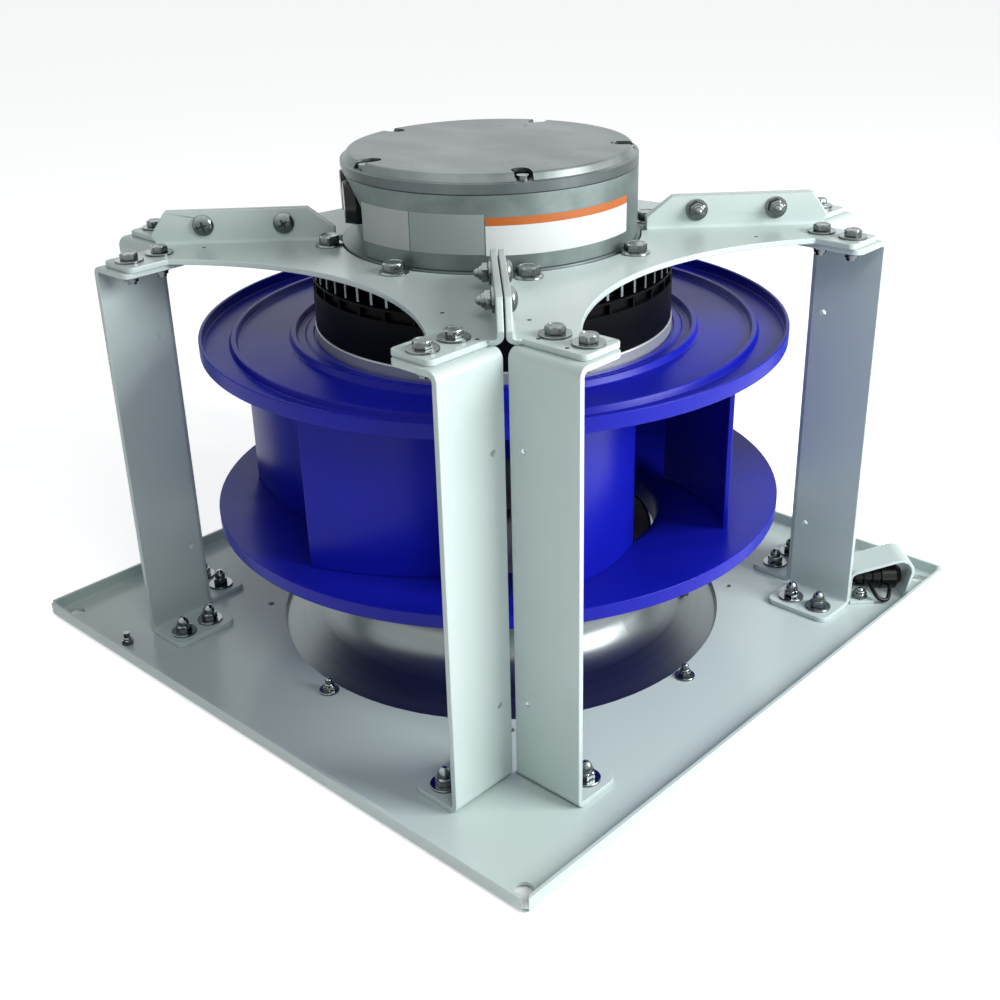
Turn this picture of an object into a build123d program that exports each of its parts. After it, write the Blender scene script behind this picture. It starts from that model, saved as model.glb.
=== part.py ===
from build123d import *
from math import asin, cos, degrees, radians, sin, sqrt, tan
import os

# Plug fan: a square base tray with an inlet nozzle, eight sheet posts and four folded arms that
# carry an external-rotor motor, and a backward-curved impeller that hangs under the motor.
# Millimetres, +Z up. The origin is the centre of the inlet, on the underside of the nozzle flange.

# Base tray
base_margin = 44.0
plate_sheet = 3.0
plate_bend = 2.0
plate_corner = 6.0
rim_height = 12.0
relief_inset = 18.5
relief_radius = 7.5
rim_slit = 5.0
corner_web = 4.0
nozzle_hole_radius = 215.0

# Inlet nozzle, spun from one sheet
nozzle_sheet = 2.0
nozzle_flange_width = 28.0
nozzle_throat_radius = 146.0
nozzle_cone_angle = 19.0
nozzle_arc_radius = 45.0
nozzle_overlap = 9.0
nozzle_edge_gap = 1.5
nozzle_bolt_inset = 11.0
guard_hole_inset = 15.0
guard_hole_radius = 3.0
tap_angle = 37.0
tap_ring_radius = 184.0
tap_radius = 3.0
tap_bore_radius = 1.5
tap_height = 7.0

# Posts: one bent sheet each, two at every corner
post_height = 364.0
post_sheet = 5.0
post_bend = 3.0
post_width = 65.0
post_flange = 48.0
post_flange_corner = 8.0
post_inset = 57.0
post_gap = 2.0
post_bolt_reach = 30.0
post_bolt_pitch = 30.0
post_hole_radius = 2.5
post_hole_inset = 12.0
post_hole_height = 75.0

# Arms: four folded top plates with upstand fins, back to back along each diagonal
arm_sheet = 5.0
arm_bend = 3.0
arm_side_inset = 10.0
arm_end_inset = 4.0
arm_tab_width = 41.0
arm_tab_corner = 6.0
arm_waist_gap = 17.0
arm_arc_radius = 245.0
arm_overhang = 26.0
arm_bore_gap = 1.0
fin_gap = 1.2
fin_height = 28.0
fin_rise = 28.0
fin_top_inset = 6.0
fin_tip_overhang = 8.0
fin_start_inset = 5.0
fin_chamfer_drop = 18.0
fin_tip_drop = 20.0
fin_bolt_inset = 21.0
fin_bolt_pitch = 70.0
fin_bolt_height = 16.0

# Motor: stator flange above, rotor cup below
rotor_radius = 160.0
rotor_wall = 10.0
rotor_band_height = 35.5
rotor_groove_height = 8.5
rotor_groove_depth = 5.0
rotor_lip_height = 2.0
rotor_rib_count = 36
rotor_rib_width = 2.0
rotor_rib_recess = 0.5
rotor_shoulder = 8.0
rotor_hub_inset = 19.0
rotor_hub_wall = 4.0
rotor_depth = 32.0
rotor_floor = 8.0
rotor_boss_radius = 30.0
rotor_boss_height = 18.0
ring_height = 11.5
ring_overhang = 1.0
ring_chamfer = 1.0
ring_screw_inset = 6.0
rotor_clearance = 1.5
shaft_radius = 12.0
running_gap = 0.05
flange_inset = 8.0
flange_thickness = 12.0
cooling_fin_count = 64
cooling_fin_thickness = 2.4
cooling_fin_depth = 14.0
spigot_overhang = 2.5
spigot_rise = 1.5
bush_radius = 62.0
bush_drop = 53.0
bearing_radius = 26.0
bearing_width = 12.0
bearing_shoulder = 4.0
core_height = 34.0
core_yoke = 16.0
tooth_count = 12
tooth_width = 16.0
slot_width = 14.0
tooth_head_depth = 5.0
coil_thickness = 7.0
magnet_thickness = 7.0
air_gap = 1.0

# Electronics housing, lid, glands and circuit board
housing_inset = 31.5
housing_height = 60.5
housing_wall = 5.0
housing_floor = 6.0
lid_height = 15.4
lid_lip = 8.5
lid_top_inset = 6.5
lid_shoulder_inset = 3.0
lid_shoulder_drop = 6.0
lid_edge_radius = 3.0
lid_wall = 3.5
lid_rim_width = 15.5
lid_screw_count = 5
lid_screw_angle = -34.0
lid_screw_inset = 9.5
lid_screw_length = 23.0
lid_pocket_radius = 7.5
lid_post_radius = 8.0
recess_angle = -128.0
recess_depth = 14.0
recess_arc_radius = 75.0
recess_lid_overlap = 4.0
recess_lid_wall = 3.0
gland_rise = 38.5
gland_pitch = 48.0
gland_radius = 19.0
gland_hex_across = 34.0
gland_hex_length = 5.0
gland_taper = 12.0
gland_nut_length = 9.0
gland_thread_radius = 10.0
board_inset = 28.5
board_thickness = 2.0
board_lift = 14.0
board_post_radius = 6.0

# Impeller
impeller_radius = 264.0
impeller_lift = 132.3
motor_stack = 82.0
disc_sheet = 3.5
disc_rim_height = 13.0
disc_rim_wall = 3.0
ridge_inset = 30.0
ridge_inner_gap = 21.0
ridge_height = 5.5
ridge_top_width = 4.0
ridge_foot_width = 8.0
step_width = 8.0
step_height = 2.0
shroud_sheet = 3.0
shroud_rim_height = 12.3
shroud_crease_inset = 26.0
shroud_crease_drop = 1.7
shroud_cone_angle = 11.0
shroud_arc_radius = 20.0
eye_gap = 4.0
shroud_depth = 57.3
blade_count = 7
blade_tip_inset = 32.0
blade_inner_radius = 165.0
blade_wrap = 37.0
blade_bulge = 11.5
blade_thickness = 4.5
blade_phase = -90.0
weld_gap = 0.15

# Fasteners
bolt_radius = 4.0
bolt_clearance = 0.5
bolt_head_across = 13.0
bolt_head_height = 5.5
nut_height = 6.5
bolt_end = 3.5
washer_radius = 12.0
washer_thickness = 2.0
fin_washer_radius = 9.5
pan_head_radius = 9.5
pan_head_height = 5.0
motor_bolt_count = 8
motor_bolt_angle = 10.0
motor_bolt_inset = 17.0
motor_bolt_radius = 5.0
motor_head_across = 17.0
motor_head_height = 7.0
motor_bolt_grip = 10.0
small_screw_radius = 3.0
small_head_radius = 5.0
small_head_height = 3.5
small_nut_across = 10.0
small_washer_radius = 9.0
seat_gap = 0.1

# Corner bracket, hose and earth stud
hood_sheet = 3.0
hood_far_bend = 11.0
hood_near_bend = 6.0
hood_foot_bend = 1.5
hood_width = 37.0
hood_near_height = 30.0
hood_height = 48.0
hood_post_gap = 48.3
hood_corner_gap = 41.0
hood_lean = 10.0
hood_offset = -20.0
hood_foot = 24.0
hood_tab_width = 8.0
fitting_height = 17.0
fitting_radius = 9.5
fitting_spigot_radius = 6.0
fitting_ring_count = 3
fitting_ring_pitch = 8.5
fitting_groove_width = 2.5
fitting_groove_depth = 2.0
boot_radius = 13.5
boot_length = 14.0
boot_dome = 6.5
boot_tip_radius = 8.0
hood_nut_side = 17.0
hose_radius = 2.0
hose_start = 22.5
hose_over = 24.0
hose_down = 31.0
hose_back = 39.0
hose_end = 46.0
hose_side = 26.0
hose_reach = 28.0
hose_drop = 9.5
earth_inset = 110.0
earth_rim_gap = 18.0

# Heights and radii that follow from the sizes above
post_face = impeller_radius - post_inset
post_inner = post_face + post_gap
post_outer = post_inner + post_width
base_side = 2 * (post_outer + base_margin)
arm_half_width = post_face - arm_side_inset
arm_reach = post_outer - arm_end_inset
arm_end_radius = impeller_radius + arm_overhang
fin_top_end = arm_end_radius - fin_top_inset
fin_tip_radius = arm_end_radius + fin_tip_overhang
ridge_outer_radius = impeller_radius - ridge_inset
ridge_inner_radius = rotor_radius + ridge_inner_gap
rotor_hub_radius = rotor_radius - rotor_hub_inset
ring_radius = rotor_radius + ring_overhang
flange_radius = rotor_radius - flange_inset
motor_bolt_ring = rotor_radius - motor_bolt_inset
housing_radius = rotor_radius - housing_inset
spigot_radius = housing_radius + spigot_overhang
lid_top_radius = housing_radius - lid_top_inset
lid_shoulder_radius = housing_radius - lid_shoulder_inset
lid_screw_radius = housing_radius - lid_screw_inset
board_radius = housing_radius - board_inset
arm_waist = rotor_radius + arm_waist_gap
blade_outer_radius = impeller_radius - blade_tip_inset
earth_across = base_side / 2 - earth_inset
earth_along = base_side / 2 - earth_rim_gap
plate_bottom = nozzle_sheet
floor = plate_bottom + plate_sheet
arm_bottom = floor + post_height
arm_top = arm_bottom + arm_sheet
shroud_top = floor + impeller_lift
disc_bottom = arm_bottom - motor_stack
disc_top = disc_bottom + disc_sheet
band_bottom = disc_top + ring_height
band_top = band_bottom + rotor_band_height
groove_top = band_top + rotor_groove_height
rotor_top = groove_top + rotor_lip_height
rotor_inner = rotor_radius - rotor_wall
rotor_bottom = band_bottom - rotor_depth
flange_bottom = arm_bottom - flange_thickness
spigot_top = arm_top + spigot_rise
housing_top = spigot_top + housing_height
lid_top = housing_top + lid_height
arm_bore_radius = spigot_radius + arm_bore_gap
fin_top_start = arm_bore_radius + fin_rise
fin_bolt_inner = fin_top_start + fin_bolt_inset
hole_radius = bolt_radius + bolt_clearance
eye_radius = nozzle_throat_radius + nozzle_sheet + eye_gap
collar_bottom = shroud_top - shroud_depth
screw_ring = rotor_hub_radius + ring_screw_inset

os.makedirs("parts", exist_ok=True)


def keep(piece, name):
    """Labels a finished piece and writes it under its name."""
    piece.part.label = name
    export_step(piece.part, f"parts/{name}.step")


# Bolt places: two in every post's foot, the first pair belonging to the front corner
post_middle = post_inner + post_width / 2
pair = [post_middle - post_bolt_pitch / 2, post_middle + post_bolt_pitch / 2]
bolt_across = post_face - post_bolt_reach
corner_points = [Vector(bolt_across, -y) for y in pair] + [Vector(x, -bolt_across) for x in pair]
foot_points = [p.rotate(Axis.Z, angle) for angle in (0, 90, 180, 270) for p in corner_points]
nozzle_bolt_circle = nozzle_hole_radius + nozzle_bolt_inset
guard_hole_circle = nozzle_hole_radius + guard_hole_inset
relief_circle = (base_side / 2 - relief_inset) * sqrt(2)
slit_length = (relief_inset - plate_corner) * sqrt(2) + plate_corner - corner_web

# Base tray: folded up on all four sides, with a relief hole and an open slit at each corner
with BuildPart() as base_plate:
    with BuildSketch(Plane.XY.offset(plate_bottom)):
        RectangleRounded(base_side, base_side, plate_corner)
    extrude(amount=plate_sheet + rim_height)
    fillet(base_plate.faces().sort_by(Axis.Z)[0].edges(), plate_sheet + plate_bend)
    offset(amount=-plate_sheet, openings=base_plate.faces().sort_by(Axis.Z)[-1])
    with BuildSketch(Plane.XY.offset(plate_bottom)):
        Circle(nozzle_hole_radius)
        with Locations(*foot_points):
            Circle(bolt_radius + seat_gap)
        with PolarLocations(nozzle_bolt_circle, 4):
            Circle(small_screw_radius + seat_gap)
        with PolarLocations(guard_hole_circle, 4, 45):
            Circle(guard_hole_radius)
        with PolarLocations(relief_circle, 4, 45):
            Circle(relief_radius)
        with Locations((-earth_across, -earth_along)):
            Circle(small_screw_radius + seat_gap)
    extrude(amount=plate_sheet, mode=Mode.SUBTRACT)
    with BuildSketch(Plane.XY.offset(floor)):
        with PolarLocations(base_side / sqrt(2), 4, 45):
            Rectangle(relief_inset * 2 * sqrt(2), rim_slit)
    extrude(amount=rim_height, mode=Mode.SUBTRACT)
    with BuildSketch(Plane.XY.offset(plate_bottom)):
        with PolarLocations(relief_circle + slit_length / 2, 4, 45):
            Rectangle(slit_length, rim_slit)
    extrude(amount=plate_sheet, mode=Mode.SUBTRACT)
keep(base_plate, "base_plate")

# Inlet nozzle: flange under the tray, shallow cone, then a round bell up into the impeller's eye
nozzle_middle = nozzle_throat_radius + nozzle_sheet / 2
nozzle_bend = nozzle_hole_radius - nozzle_edge_gap
nozzle_slope = tan(radians(nozzle_cone_angle))
nozzle_corner = nozzle_sheet / 2 + (nozzle_bend - nozzle_middle) * nozzle_slope
nozzle_top = collar_bottom + nozzle_overlap
with BuildPart() as inlet_nozzle:
    with BuildSketch(Plane.XZ):
        with BuildLine():
            flange_line = Line(
                (nozzle_hole_radius + nozzle_flange_width, nozzle_sheet / 2),
                (nozzle_bend, nozzle_sheet / 2),
            )
            FilletPolyline(
                flange_line @ 1,
                (nozzle_middle, nozzle_corner),
                (nozzle_middle, nozzle_top),
                radius=nozzle_arc_radius,
            )
        trace(line_width=nozzle_sheet)
    revolve(axis=Axis.Z)
    with BuildSketch(Plane.XY):
        with PolarLocations(nozzle_bolt_circle, 4):
            Circle(small_screw_radius + seat_gap)
        with PolarLocations(guard_hole_circle, 4, 45):
            Circle(guard_hole_radius)
        with PolarLocations(tap_ring_radius, 1, tap_angle):
            Circle(tap_radius + seat_gap)
    extrude(amount=nozzle_corner, mode=Mode.SUBTRACT)
keep(inlet_nozzle, "inlet_nozzle")

# Pressure tap: a short tube through the nozzle's cone
tap_base = nozzle_sheet / 2 + (nozzle_bend - tap_ring_radius) * nozzle_slope
with BuildPart() as pressure_tap:
    with BuildSketch(Plane.XY.offset(tap_base - nozzle_sheet)):
        with PolarLocations(tap_ring_radius, 1, tap_angle):
            Circle(tap_radius)
            Circle(tap_bore_radius, mode=Mode.SUBTRACT)
    extrude(amount=nozzle_sheet * 2 + tap_height)
keep(pressure_tap, "pressure_tap")

# Nozzle fixings: studs pressed into the flange, with washers and nuts on the tray
with BuildPart() as nozzle_studs:
    with BuildSketch(Plane.XY):
        with PolarLocations(nozzle_bolt_circle, 4):
            Circle(small_screw_radius)
    extrude(amount=floor + washer_thickness + nut_height + bolt_end)
keep(nozzle_studs, "nozzle_studs")

with BuildPart() as nozzle_washers:
    with BuildSketch(Plane.XY.offset(floor)):
        with PolarLocations(nozzle_bolt_circle, 4):
            Circle(small_washer_radius)
            Circle(small_screw_radius + seat_gap, mode=Mode.SUBTRACT)
    extrude(amount=washer_thickness)
keep(nozzle_washers, "nozzle_washers")

with BuildPart() as nozzle_nuts:
    with BuildSketch(Plane.XY.offset(floor + washer_thickness)):
        with PolarLocations(nozzle_bolt_circle, 4):
            RegularPolygon(small_nut_across / 2, 6, major_radius=False)
            Circle(small_screw_radius + seat_gap, mode=Mode.SUBTRACT)
    extrude(amount=nut_height)
keep(nozzle_nuts, "nozzle_nuts")

# Posts: a sheet bent to a C, with its flanges under the arm and on the tray
bend_middle = post_bend + post_sheet / 2
half = post_sheet / 2
with BuildPart() as post:
    with BuildSketch(Plane(origin=(post_face, -post_inner, floor), x_dir=(-1, 0, 0), z_dir=(0, 1, 0))):
        with BuildLine():
            FilletPolyline(
                (post_flange, half),
                (half, half),
                (half, post_height - half),
                (post_flange, post_height - half),
                radius=bend_middle,
            )
        trace(line_width=post_sheet)
    extrude(amount=-post_width)
    fillet(post.edges().filter_by(Axis.Z).group_by(SortBy.LENGTH)[0], post_flange_corner)
    with BuildSketch(Plane.XY.offset(floor)):
        with Locations(*corner_points[:2]):
            Circle(hole_radius)
    extrude(amount=post_height, mode=Mode.SUBTRACT)
    with BuildSketch(Plane(origin=(post_face, -post_inner, floor), x_dir=(0, -1, 0), z_dir=(-1, 0, 0))):
        with Locations((post_hole_inset, post_hole_height), (post_hole_inset, post_height - post_hole_height)):
            Circle(post_hole_radius)
    extrude(amount=post_sheet, mode=Mode.SUBTRACT)

front_diagonal = Plane(origin=(0, 0, 0), x_dir=(1, -1, 0), z_dir=(1, 1, 0))
with BuildPart() as twin_post:
    mirror(post.part, about=front_diagonal)

post_number = 0
for angle in (0, 90, 180, 270):
    for shape in (post, twin_post):
        post_number += 1
        with BuildPart() as placed_post:
            add(shape.part, rotation=(0, 0, angle))
        keep(placed_post, f"post_{post_number}")

# Studs pressed into the tray hold the posts' feet
with BuildPart() as base_studs:
    with BuildSketch(Plane.XY.offset(plate_bottom)):
        with Locations(*foot_points):
            Circle(bolt_radius)
    extrude(amount=plate_sheet + post_sheet + washer_thickness + nut_height + bolt_end)
keep(base_studs, "base_studs")

with BuildPart() as base_washers:
    with BuildSketch(Plane.XY.offset(floor + post_sheet)):
        with Locations(*foot_points):
            Circle(washer_radius)
            Circle(hole_radius, mode=Mode.SUBTRACT)
    extrude(amount=washer_thickness)
keep(base_washers, "base_washers")

with BuildPart() as base_nuts:
    with BuildSketch(Plane.XY.offset(floor + post_sheet + washer_thickness)):
        with Locations(*foot_points):
            RegularPolygon(bolt_head_across / 2, 6, major_radius=False)
            Circle(bolt_radius + seat_gap, mode=Mode.SUBTRACT)
    extrude(amount=nut_height)
keep(base_nuts, "base_nuts")

# Arms: flat plate with a concave front and two feet, folded up along both diagonals
diagonal = Vector(1, -1, 0).normalized()
inward = Vector(-1, -1, 0).normalized()
fin_near = fin_gap / 2
fin_far = fin_near + arm_sheet + arm_bend
fin_start = arm_bore_radius + fin_start_inset
fin_top = arm_top + fin_height
fin_bolt_z = arm_top + fin_bolt_height
fin_side = Plane(origin=(0, 0, 0), x_dir=diagonal, z_dir=inward)
tab_inner = arm_half_width - arm_tab_width
end_sum = arm_end_radius * sqrt(2)
fold_sum = fin_far * sqrt(2)
with BuildPart() as arm:
    with BuildSketch(Plane(origin=diagonal * fin_tip_radius, x_dir=inward, z_dir=-diagonal)):
        with BuildLine():
            FilletPolyline(
                (fin_far + arm_bend, arm_bottom + arm_sheet / 2),
                (fin_near + arm_sheet / 2, arm_bottom + arm_sheet / 2),
                (fin_near + arm_sheet / 2, fin_top),
                radius=arm_bend + arm_sheet / 2,
            )
        trace(line_width=arm_sheet)
    extrude(amount=fin_tip_radius - fin_start)
    with BuildSketch(fin_side):
        Polygon(
            (fin_start, arm_bottom),
            (arm_end_radius, arm_bottom),
            (fin_tip_radius, fin_top - fin_tip_drop),
            (fin_top_end, fin_top),
            (fin_top_start, fin_top),
            (fin_start, fin_top - fin_chamfer_drop),
            align=None,
        )
    extrude(amount=fin_far + arm_bend * 2, mode=Mode.INTERSECT)
    with BuildSketch(fin_side):
        with Locations((fin_bolt_inner, fin_bolt_z), (fin_bolt_inner + fin_bolt_pitch, fin_bolt_z)):
            Circle(hole_radius)
    extrude(amount=fin_near + arm_sheet, mode=Mode.SUBTRACT)
    with BuildSketch(Plane.XY.offset(arm_bottom)) as arm_plan:
        with BuildLine():
            waist = JernArc(
                start=(0, -arm_waist),
                tangent=(1, 0),
                radius=arm_arc_radius,
                arc_size=-degrees(asin(tab_inner / arm_arc_radius)),
            )
            Polyline(
                waist @ 1,
                (tab_inner, -arm_reach),
                (arm_half_width, -arm_reach),
                (arm_half_width, arm_half_width - end_sum),
                ((end_sum - fold_sum) / 2, -(end_sum + fold_sum) / 2),
                (0, -fold_sum),
                waist @ 0,
            )
        make_face()
        fillet(arm_plan.vertices().group_by(Axis.Y)[0], arm_tab_corner)
    extrude(amount=arm_sheet)
    mirror(about=Plane.YZ)
    with BuildSketch(Plane.XY.offset(arm_bottom)):
        Circle(arm_bore_radius)
        with Locations(*foot_points):
            Circle(hole_radius)
        with PolarLocations(motor_bolt_ring, motor_bolt_count, motor_bolt_angle):
            Circle(motor_bolt_radius + bolt_clearance)
    extrude(amount=arm_sheet, mode=Mode.SUBTRACT)

for number, angle in enumerate((0, 90, 180, 270), start=1):
    with BuildPart() as placed_arm:
        add(arm.part, rotation=(0, 0, angle))
    keep(placed_arm, f"arm_{number}")

# Bolts, washers and nuts that clamp the arms' feet to the posts
with BuildPart() as top_bolts:
    with BuildSketch(Plane.XY.offset(arm_top + washer_thickness)):
        with Locations(*foot_points):
            RegularPolygon(bolt_head_across / 2, 6, major_radius=False)
    extrude(amount=bolt_head_height)
    with BuildSketch(Plane.XY.offset(arm_top + washer_thickness)):
        with Locations(*foot_points):
            Circle(bolt_radius)
    extrude(amount=-(washer_thickness + arm_sheet + post_sheet + nut_height + bolt_end))
keep(top_bolts, "top_bolts")

with BuildPart() as top_washers:
    with BuildSketch(Plane.XY.offset(arm_top)):
        with Locations(*foot_points):
            Circle(washer_radius)
            Circle(hole_radius, mode=Mode.SUBTRACT)
    extrude(amount=washer_thickness)
keep(top_washers, "top_washers")

with BuildPart() as top_nuts:
    with BuildSketch(Plane.XY.offset(arm_bottom - post_sheet)):
        with Locations(*foot_points):
            RegularPolygon(bolt_head_across / 2, 6, major_radius=False)
            Circle(bolt_radius + seat_gap, mode=Mode.SUBTRACT)
    extrude(amount=-nut_height)
keep(top_nuts, "top_nuts")

# Screws through each pair of fins, heads on one side and flanged nuts on the other
fin_grip = fin_near + arm_sheet
fin_places = [(fin_bolt_inner, fin_bolt_z), (fin_bolt_inner + fin_bolt_pitch, fin_bolt_z)]
fin_planes = [
    Plane(
        origin=(0, 0, 0),
        x_dir=diagonal.rotate(Axis.Z, angle),
        z_dir=inward.rotate(Axis.Z, angle),
    )
    for angle in (0, 90, 180, 270)
]
with BuildPart() as fin_screws:
    for plane in fin_planes:
        with BuildSketch(plane.offset(-fin_grip)):
            with Locations(*fin_places):
                Circle(pan_head_radius)
        extrude(amount=-pan_head_height)
        with BuildSketch(plane.offset(-fin_grip)):
            with Locations(*fin_places):
                Circle(bolt_radius)
        extrude(amount=fin_grip * 2 + washer_thickness + nut_height + bolt_end)
keep(fin_screws, "fin_screws")

with BuildPart() as fin_nuts:
    for plane in fin_planes:
        with BuildSketch(plane.offset(fin_grip)):
            with Locations(*fin_places):
                Circle(fin_washer_radius)
                Circle(bolt_radius + seat_gap, mode=Mode.SUBTRACT)
        extrude(amount=washer_thickness)
        with BuildSketch(plane.offset(fin_grip + washer_thickness)):
            with Locations(*fin_places):
                RegularPolygon(bolt_head_across / 2, 6, major_radius=False)
                Circle(bolt_radius + seat_gap, mode=Mode.SUBTRACT)
        extrude(amount=nut_height)
keep(fin_nuts, "fin_nuts")

# Motor bolts and their washers on the arms
with BuildPart() as motor_bolts:
    with BuildSketch(Plane.XY.offset(arm_top + washer_thickness)):
        with PolarLocations(motor_bolt_ring, motor_bolt_count, motor_bolt_angle):
            RegularPolygon(motor_head_across / 2, 6, major_radius=False)
    extrude(amount=motor_head_height)
    with BuildSketch(Plane.XY.offset(arm_top + washer_thickness)):
        with PolarLocations(motor_bolt_ring, motor_bolt_count, motor_bolt_angle):
            Circle(motor_bolt_radius)
    extrude(amount=-(washer_thickness + arm_sheet + motor_bolt_grip))
keep(motor_bolts, "motor_bolts")

with BuildPart() as motor_washers:
    with BuildSketch(Plane.XY.offset(arm_top)):
        with PolarLocations(motor_bolt_ring, motor_bolt_count, motor_bolt_angle):
            Circle(washer_radius)
            Circle(motor_bolt_radius + bolt_clearance, mode=Mode.SUBTRACT)
    extrude(amount=washer_thickness)
keep(motor_washers, "motor_washers")

# Stator flange: spigot through the arms, bearing tube, and a ring of cooling fins over the rotor
bush_bottom = flange_bottom - bush_drop
bearing_bore = bearing_radius + seat_gap
bearing_narrow = bearing_radius - bearing_shoulder
lower_shoulder = bush_bottom + bearing_width + seat_gap
upper_shoulder = flange_bottom - seat_gap
with BuildPart() as stator_flange:
    with BuildSketch(Plane.XZ):
        Polygon(
            (bearing_bore, spigot_top),
            (spigot_radius, spigot_top),
            (spigot_radius, arm_bottom),
            (flange_radius, arm_bottom),
            (flange_radius, flange_bottom),
            (bush_radius, flange_bottom),
            (bush_radius, bush_bottom),
            (bearing_bore, bush_bottom),
            (bearing_bore, lower_shoulder),
            (bearing_narrow, lower_shoulder),
            (bearing_narrow, upper_shoulder),
            (bearing_bore, upper_shoulder),
            align=None,
        )
    revolve(axis=Axis.Z)
    with BuildSketch(Plane.XY.offset(rotor_top + rotor_clearance)):
        with PolarLocations(rotor_radius - cooling_fin_depth / 2, cooling_fin_count):
            Rectangle(cooling_fin_depth, cooling_fin_thickness)
    extrude(amount=arm_bottom - rotor_top - rotor_clearance - seat_gap)
    with BuildSketch(Plane.XY.offset(arm_bottom)):
        with PolarLocations(motor_bolt_ring, motor_bolt_count, motor_bolt_angle):
            Circle(motor_bolt_radius + seat_gap)
    extrude(amount=-motor_bolt_grip - seat_gap, mode=Mode.SUBTRACT)
keep(stator_flange, "stator_flange")

# Stator core: toothed lamination stack on the bearing tube, with a coil round each tooth
core_inner = bush_radius + seat_gap
core_radius = rotor_inner - seat_gap - magnet_thickness - air_gap
core_bottom = band_bottom + rotor_shoulder + seat_gap
tooth_start = core_inner + core_yoke
tooth_end = core_radius - tooth_head_depth
tooth_reach = tooth_end + tooth_head_depth / 2
tooth_angle = 360 / tooth_count
with BuildPart() as stator_core:
    with BuildSketch(Plane.XY.offset(core_bottom)):
        Circle(core_radius)
        Circle(tooth_end, mode=Mode.SUBTRACT)
        with PolarLocations(core_radius, tooth_count, tooth_angle / 2):
            Rectangle(tooth_head_depth * 4, slot_width, mode=Mode.SUBTRACT)
        with PolarLocations((core_inner + tooth_reach) / 2, tooth_count):
            Rectangle(tooth_reach - core_inner, tooth_width)
        Circle(tooth_start)
        Circle(core_inner, mode=Mode.SUBTRACT)
    extrude(amount=core_height)
keep(stator_core, "stator_core")

coil_gap = seat_gap * 5
coil_length = tooth_end - tooth_start - coil_gap * 6
coil_middle = (tooth_end + tooth_start) / 2
with BuildPart() as windings:
    with BuildSketch(Plane.XY.offset(core_bottom - coil_thickness)):
        with PolarLocations(coil_middle, tooth_count):
            Rectangle(coil_length, tooth_width + coil_thickness * 2)
    extrude(amount=core_height + coil_thickness * 2)
    with BuildSketch(Plane.XY.offset(core_bottom - seat_gap)):
        with PolarLocations(coil_middle, tooth_count):
            Rectangle(coil_length, tooth_width + seat_gap * 2)
    extrude(amount=core_height + seat_gap * 2, mode=Mode.SUBTRACT)
keep(windings, "windings")

# Bearings between the tube and the shaft
with BuildPart() as bearing_lower:
    with BuildSketch(Plane.XY.offset(bush_bottom)):
        Circle(bearing_radius)
        Circle(shaft_radius + running_gap, mode=Mode.SUBTRACT)
    extrude(amount=bearing_width)
keep(bearing_lower, "bearing_lower")

with BuildPart() as bearing_upper:
    with BuildSketch(Plane.XY.offset(flange_bottom)):
        Circle(bearing_radius)
        Circle(shaft_radius + running_gap, mode=Mode.SUBTRACT)
    extrude(amount=bearing_width)
keep(bearing_upper, "bearing_upper")

# Electronics housing: cast cup with screw posts, board posts and a flat recess for the glands
cavity_radius = housing_radius - housing_wall
recess_flat = housing_radius - recess_depth
recess_reach = recess_depth * 2
recess_plane = Plane(
    origin=Vector(recess_flat, 0, 0).rotate(Axis.Z, recess_angle),
    x_dir=Vector(0, 1, 0).rotate(Axis.Z, recess_angle),
    z_dir=Vector(1, 0, 0).rotate(Axis.Z, recess_angle),
)
recess_centre = housing_top + recess_lid_overlap - recess_arc_radius
gland_z = spigot_top + gland_rise
gland_places = [(-gland_pitch / 2, gland_z), (gland_pitch / 2, gland_z)]
with BuildPart() as electronics_housing:
    with BuildSketch(Plane.XY.offset(spigot_top)):
        Circle(housing_radius)
    extrude(amount=housing_height)
    with BuildSketch(Plane.XY.offset(spigot_top + housing_floor)):
        Circle(cavity_radius)
        with PolarLocations(recess_flat - housing_wall + cavity_radius / 2, 1, recess_angle):
            Rectangle(cavity_radius, housing_radius * 2, mode=Mode.SUBTRACT)
        with PolarLocations(lid_screw_radius, lid_screw_count, lid_screw_angle):
            Circle(lid_post_radius, mode=Mode.SUBTRACT)
    extrude(amount=housing_height, mode=Mode.SUBTRACT)
    with BuildSketch(Plane.XY.offset(spigot_top + housing_floor)):
        with PolarLocations(board_radius - board_post_radius * 2, 4, 30):
            Circle(board_post_radius)
    extrude(amount=board_lift)
    with BuildSketch(recess_plane):
        with Locations((0, recess_centre)):
            Circle(recess_arc_radius)
    extrude(amount=recess_reach, mode=Mode.SUBTRACT)
    with BuildSketch(recess_plane):
        with Locations(*gland_places):
            Circle(gland_thread_radius + seat_gap)
    extrude(amount=-housing_wall * 2, mode=Mode.SUBTRACT)
    with BuildSketch(Plane.XY.offset(housing_top)):
        with PolarLocations(lid_screw_radius, lid_screw_count, lid_screw_angle):
            Circle(small_screw_radius + seat_gap)
    extrude(amount=-lid_screw_length, mode=Mode.SUBTRACT)
keep(electronics_housing, "electronics_housing")

# Cable glands: a threaded body through the wall and a domed nut outside
with BuildPart() as gland_bodies:
    with BuildSketch(recess_plane.offset(-housing_wall)):
        with Locations(*gland_places):
            Circle(gland_thread_radius)
    extrude(amount=housing_wall)
    with BuildSketch(recess_plane):
        with Locations(*gland_places):
            RegularPolygon(gland_hex_across / 2, 6, major_radius=False)
    extrude(amount=gland_hex_length)
keep(gland_bodies, "gland_bodies")

with BuildPart() as gland_nuts:
    with BuildSketch(recess_plane.offset(gland_hex_length)):
        with Locations(*gland_places):
            Circle(gland_radius)
    extrude(amount=gland_nut_length, taper=gland_taper)
keep(gland_nuts, "gland_nuts")

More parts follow.
